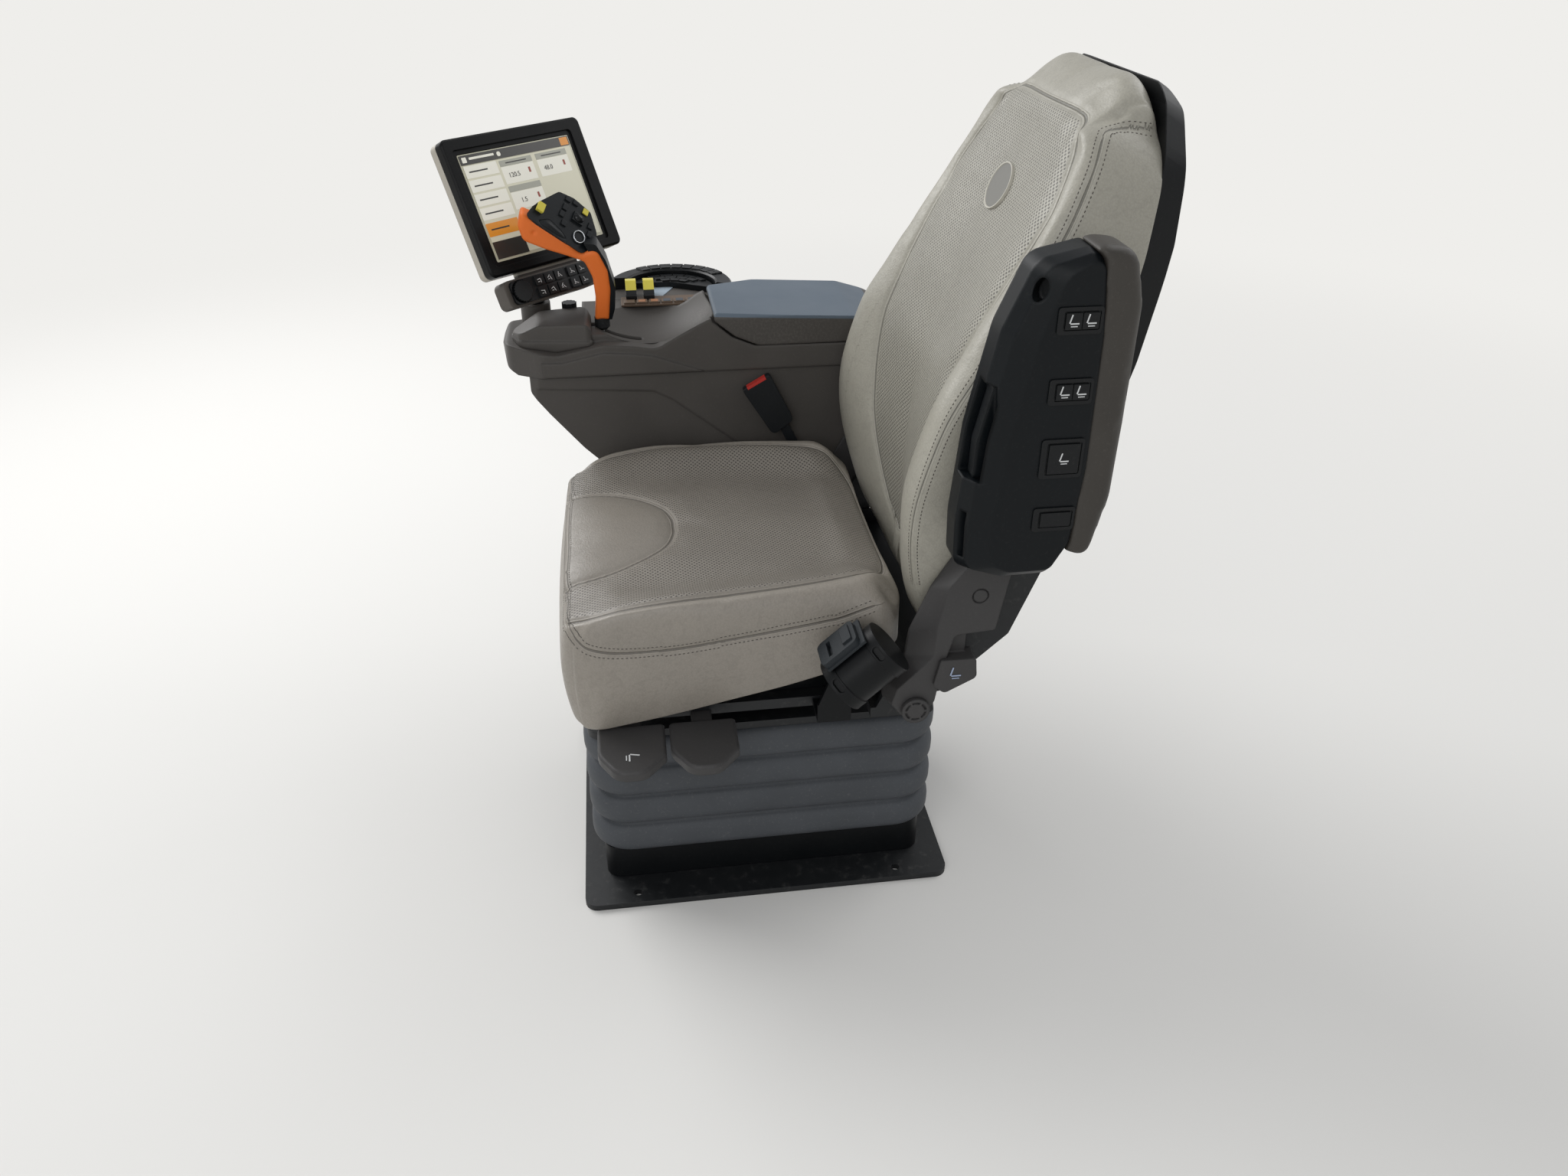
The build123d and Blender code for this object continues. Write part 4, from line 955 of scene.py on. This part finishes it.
def makeBadge(piece):
    # blank oval badge pressed into the leather, with a raised rim
    spot, normal, _, _ = surfaceOf(piece).find_nearest(uprightToSeat @ (Vector(badge["middle"]) * mm))
    upWay = uprightToSeat.to_3x3() @ Vector((0, 0, 1))
    place = placeOf(spot / mm, upWay.cross(normal), normal)
    wide, tall = (half * mm for half in badge["half"])
    bm = bmesh.new()
    bmesh.ops.create_circle(bm, cap_ends=True, segments=48, radius=1,
                            matrix=Matrix.Diagonal((wide, tall, 1, 1)))
    top = bmesh.ops.extrude_face_region(bm, geom=bm.faces[:])["geom"]
    bmesh.ops.translate(bm, vec=(0, 0, badge["thick"] * mm), verts=pointsOf(top))
    for width, drop in ((badge["rim"], 0), (badge["slope"], badge["dish"])):
        upper = [f for f in bm.faces
                 if len(f.verts) > 4 and f.calc_center_median().z > badge["thick"] / 2 * mm]
        bmesh.ops.inset_region(bm, faces=upper, thickness=width * mm, depth=-drop * mm)
    bmesh.ops.translate(bm, vec=(0, 0, -badge["sunk"] * mm), verts=bm.verts)
    bmesh.ops.recalc_face_normals(bm, faces=bm.faces)
    bmesh.ops.transform(bm, matrix=place, verts=bm.verts)
    for face in bm.faces:
        face.material_index = 1 if len(face.verts) == 4 else 0
    oval = finishPiece(bm, "backBadge", badgePlastic, "backrest", smooth=False)
    oval.data.materials.append(badgeRim)


leatherTurn = (math.radians(90 + backrest["lean"]), 0, math.radians(45))
# painted light: the back's leather is drawn paler than the cushion's, though both are one leather
backLeather = seatLeather("leatherLitBack", "#9A978C", leatherTurn, 0.14, 0.1)
badgePlastic = mouldedPlastic("pvcBadge", "#6F6E69", 0.45, edgeMm=0.8)
badgeRim = mouldedPlastic("pvcBadgeRim", "#B4B1A6", 0.4, edgeMm=0.8)
backCushion = makeBackrest()
sewBeside(backCushion, "backStitches", [backSeam(-1), backSeam(1)], "backrest")
makeBadge(backCushion)
print("backrest made")


# Armrest pad: foam under a soft skin

def makeRestPad():
    piece = evenCopy("armrest_pad", "armrestPad", padVinyl, "armrest", 5)
    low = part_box("armrest_pad")[0]
    glued = 16 * mm          # the strip along the housing that doesn't swell
    held = {v.index: 1.0 for v in piece.data.vertices if v.co.y < low[1] + glued}
    inflate(piece, held, 4 * mm)
    subdivide(piece, 1)
    piece.data.shade_smooth()


padVinyl = mouldedPlastic("pvcPadSkin", "#3A3733", 0.5, grain=0.5, mottle=0.08, dust=0.05)
makeRestPad()
print("armrest pad made")


# Suspension bellows

bellows = {
    "folds": 4,
    "foldDepth": 17,
    "roundness": 3.2,         # power of the fold's curve, higher is flatter with sharper grooves
    "corner": 58,
    "rings": 63,
}


def makeBellows():
    low, high = (Vector(corner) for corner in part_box("suspension_bellows"))
    middle, half = (low + high) / 2, (high - low) / 2
    bm = bmesh.new()
    bmesh.ops.create_cube(bm, size=2,
                          matrix=Matrix.Translation(middle) @ Matrix.Diagonal((*half, 1)))

    def upright():
        return [e for e in bm.edges if abs(e.verts[0].co.z - e.verts[1].co.z) > half.z]

    roundEdges(bm, upright(), bellows["corner"], 12)
    bmesh.ops.subdivide_edges(bm, edges=upright(), cuts=bellows["rings"])
    for vertex in bm.verts:
        share = (vertex.co.z - low.z) / (high.z - low.z) * bellows["folds"]
        within = abs(2 * (share % 1) - 1) if 0 < share < bellows["folds"] else 1
        fold = 1 - math.sqrt(max(0.0, 1 - within ** bellows["roundness"]))
        inward = bellows["foldDepth"] * mm * fold
        vertex.co.x = middle.x + (vertex.co.x - middle.x) * (1 - inward / half.x)
        vertex.co.y = middle.y + (vertex.co.y - middle.y) * (1 - inward / half.y)
    bmesh.ops.recalc_face_normals(bm, faces=bm.faces)
    piece = finishPiece(bm, "bellowsFolds", bellowsRubber, "base")
    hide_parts("suspension_bellows")


makeBellows()
print("bellows made")


# Ways of making the small parts

def plates(name, place, rows, material, body, rise=0.3, thick=0.5):
    # thin rounded plates on a placed face: x, y, width, height, turn in degrees, corner radius
    bm = bmesh.new()
    for x, y, wide, tall, turn, corner in rows:
        at = (place @ Matrix.Translation((x * mm, y * mm, (rise + thick / 2) * mm))
              @ Matrix.Rotation(math.radians(turn), 4, "Z")
              @ Matrix.Diagonal((wide * mm, tall * mm, thick * mm, 1)))
        made = bmesh.ops.create_cube(bm, size=1, matrix=at)["verts"]
        if corner:
            out = place.to_3x3() @ Vector((0, 0, 1))
            sides = {e for v in made for e in v.link_edges
                     if abs((e.verts[0].co - e.verts[1].co).normalized().dot(out)) > 0.9}
            roundEdges(bm, list(sides), corner, 4)
    return finishPiece(bm, name, material, body, smooth=False)


def prism(name, place, corners, low, high, material, body):
    # outline in mm on a placed face, drawn out from low to high above it
    bm = bmesh.new()
    face = bm.faces.new([bm.verts.new(place @ (Vector((x, y, low)) * mm)) for x, y in corners])
    upper = bmesh.ops.extrude_face_region(bm, geom=[face])["geom"]
    rise = place.to_3x3() @ Vector((0, 0, (high - low) * mm))
    bmesh.ops.translate(bm, vec=rise, verts=pointsOf(upper))
    bmesh.ops.recalc_face_normals(bm, faces=bm.faces)
    return finishPiece(bm, name, material, body, smooth=False)


def numbers(name, place, rows, material, body):
    # plain figures: x, y, height, text
    bm = bmesh.new()
    for x, y, tall, words in rows:
        curve = bpy.data.curves.new(name + "Text", "FONT")
        curve.body = words
        curve.size = tall * mm
        curve.extrude = 0.1 * mm
        maker = bpy.data.objects.new(name + "Maker", curve)
        scene.collection.objects.link(maker)
        bpy.context.view_layer.update()
        evaluated = maker.evaluated_get(bpy.context.evaluated_depsgraph_get())
        mesh = bpy.data.meshes.new_from_object(evaluated)
        mesh.transform(place @ Matrix.Translation((x * mm, y * mm, 0.9 * mm)))
        bm.from_mesh(mesh)
        bpy.data.objects.remove(maker)
        bpy.data.curves.remove(curve)
        bpy.data.meshes.remove(mesh)
    return finishPiece(bm, name, material, body, smooth=False)


def ring(name, place, centre, radius, wire, material, body):
    bm = bmesh.new()
    section = Matrix.Translation((radius * mm, 0, 0)) @ Matrix.Rotation(math.pi / 2, 4, "X")
    bmesh.ops.create_circle(bm, cap_ends=False, segments=12, radius=wire * mm, matrix=section)
    bmesh.ops.spin(bm, geom=bm.verts[:] + bm.edges[:], cent=(0, 0, 0), axis=(0, 0, 1),
                   angle=2 * math.pi, steps=40, use_merge=True)
    bmesh.ops.recalc_face_normals(bm, faces=bm.faces)
    bmesh.ops.transform(bm, matrix=place @ Matrix.Translation(Vector(centre) * mm), verts=bm.verts)
    return finishPiece(bm, name, material, body)


def dome(name, place, centre, size, material, body):
    bm = bmesh.new()
    bmesh.ops.create_uvsphere(bm, u_segments=28, v_segments=16, radius=1,
                              matrix=place @ Matrix.Translation(Vector(centre) * mm)
                              @ Matrix.Diagonal((*(s * mm for s in size), 1)))
    return finishPiece(bm, name, material, body)


# pad printing: a thin even film, duller than the plastic under it
printWhite, printBlue, printTan, printSlate = (
    mouldedPlastic("padPrint" + name, colour, roughness, grain=0.05, edgeMm=0.2)
    for name, colour, roughness in (("White", "#C9CBCB", 0.5), ("BlueGrey", "#9AA6BE", 0.5),
                                    ("Tan", "#8F6243", 0.5), ("Slate", "#3D434A", 0.4)))
plateBlue = mouldedPlastic("pcPlateBlue", "#8E9BA6", 0.4, grain=0.1, dust=0.1, edgeMm=0.4)
blackGloss = mouldedPlastic("pomPolished", "#0C0E10", 0.16, grain=0.05, edgeMm=0.4)
screenInks = {
    # picture on the glass: ink, colour, brightness of the backlight
    "Pale": ("#C8C5B0", 0.12), "White": ("#D9D7CB", 0.15), "Dark": ("#34322F", 0.0),
    "Grey": ("#9A9A8E", 0.08), "Orange": ("#CF8526", 0.12), "Red": ("#8C3B2C", 0.05),
}
ink = {}
for name, (colour, backlight) in screenInks.items():
    lit = {"Emission Color": linear(colour), "Emission Strength": backlight}
    ink[name] = newMaterial("screenPicture" + name, colour, 0.25, **lit)[0]


def seatIcon(across, up, size=1, rounded=True):
    # a seat in outline: back, cushion and base, as rows for plates
    outline = [(-4.5, 3.5, 2, 13, -14, 0.6), (1.5, -3.5, 13, 2, 0, 0.6), (1, -7.5, 10, 1.4, 0, 0.4)]
    return [(across + x * size, up + y * size, wide * size, tall * size, turn, corner if rounded else 0)
            for x, y, wide, tall, turn, corner in outline]


rockerIcons = []
for height, count in ((575, 2), (495, 2), (415, 1)):
    for i in range(count):
        rockerIcons += seatIcon(2 + (i - (count - 1) / 2) * 19, height, 0.75, False)
plates("rockerIcons", restFace, rockerIcons, printWhite, "armrest", 3.1, 0.3)
print("icons made")


# Black shroud that closes the gap behind the cushion, a dark sheet for painted shade where the gap lies
# in shadow: outline as y and z, drawn out across the seat

shadeShroud = {
    "outline": [(150, 362), (222, 362), (226, 374), (256, 376), (256, 382), (212, 382), (150, 374)],
    "halfWidth": 244,
    "endWall": [(204, 368), (256, 376), (256, 398), (232, 408), (204, 404)],
    "wall": 5,
}
acrossSeat = placeOf((0, 0, 0), (0, 1, 0), (1, 0, 0))
wall, side = shadeShroud["wall"], shadeShroud["halfWidth"]
# dark sheets standing in for the shade in the gap behind the cushion
for name, outline, left, right in (("rearShadeShroud", shadeShroud["outline"], -side, side),
                                   ("rearShadeShroudRight", shadeShroud["endWall"], -side, wall - side),
                                   ("rearShadeShroudLeft", shadeShroud["endWall"], side - wall, side)):
    prism(name, acrossSeat, outline, left, right, blackPlastic, "seat")
print("shroud made")


# Display picture

screenFields = [
    # name, ink, height above the glass, rows as plates takes them
    ("screenPale", "Pale", 0.1, [(0, -6, 208, 140, 0, 1)]),
    ("screenDark", "Dark", 0.4, [(0, 72, 212, 14, 0, 1), (-74, -64, 60, 26, 0, 0)]),
    ("screenWhite", "White", 0.4, [(-74, y, 60, 18, 0, 1) for y in (54, 33, 12, -9)]),
    ("screenOrange", "Orange", 0.45, [(-74, -33, 60, 20, 0, 1), (96, 72, 16, 12, 0, 1)]),
    ("screenGrey", "Grey", 0.4, [(x, y, 62, 9, 0, 0.5) for x, y in ((-8, 57), (62, 57), (-8, 18))]),
    ("screenRed", "Red", 0.45, [(x, y, 4, 8, 0, 0.5) for x, y in ((12, 41), (82, 41), (12, 2))]),
    ("screenBoxes", "White", 0.3, [(x, y, 62, 26, 0, 0.5) for x, y in ((-8, 39), (62, 39), (-8, 0))]),
]
for name, colour, rise, rows in screenFields:
    plates(name, screenFace, rows, ink[colour], "display", rise, 0.3)
figures = [(-30, 35, 10, "120.5"), (40, 35, 10, "48.0"), (-24, -4, 10, "1.5")]
numbers("screenFigures", screenFace, figures, ink["Dark"], "display")
textLines = [(-80, y, 34, 2.2, 0, 0) for y in (54, 33, 12, -9, -33)]
textLines += [(x, 57, 40, 1.8, 0, 0) for x in (-8, 62)]
title = [(-98, 72, 8, 8, 0, 1), (-66, 73, 46, 3.4, 0, 0), (-34, 72, 7, 7, 0, 3)]
for name, colour, rows in (("screenLines", "Dark", textLines), ("screenTitle", "White", title)):
    plates(name, screenFace, rows, ink[colour], "display", 0.75, 0.1)
stripIcons = []
for row in (-9, 9):
    for i in range(5):
        x, y = -50 + i * 20 + (6 if i > 2 else 0), -131 + row
        stripIcons += [(x - 1.5, y + 1.5, 6, 0.9, 30 * i + row, 0),
                       (x + 2, y - 1.5, 0.9, 6, 20 * i, 0), (x - 2, y - 2.5, 3.5, 0.9, 0, 0)]
plates("stripIcons", screenFace, stripIcons, printWhite, "display", 6.0, 0.2)
print("display picture made")


# Lever, console keys, and icons on the handle and the paddles

evenCopy("lever_grip", "leverGrip", orangePlastic, "console", 1.3, 14)
ring("wheelRing", controlFace, (-13, -20, 2.4), 9.2, 1.0, polishedSteel, "console")
dome("thumbHat", controlFace, (13, -9, 3), (6.5, 8.5, 5.5), blackGloss, "console")
deckFace = placeOf((-275, 0, 716), (1, 0, 0), (0, 0, 1))
for name, keys, printed in (("keyPlatesTan", (1, 2), printTan),
                            ("keyPlatesSlate", (3, 4, 5), printSlate)):
    keyRows = [(-167.5, -150 + key * 21, 13, 12, 0, 1) for key in keys]
    plates(name, deckFace, keyRows, printed, "console", 6.0, 0.5)
podOutline = [(-209, -125), (-294, -101), (-311, -46), (-205, -93)]
prism("podPlate", deckFace, podOutline, -0.5, 1.2, plateBlue, "console")
plates("handleIcon", handleFace, seatIcon(0, 0), printBlue, "backrest", 0.3, 0.3)
plates("paddleIcon", paddleFace, seatIcon(22, 0), printWhite, "seat", 0.3, 0.3)
print("small parts made")
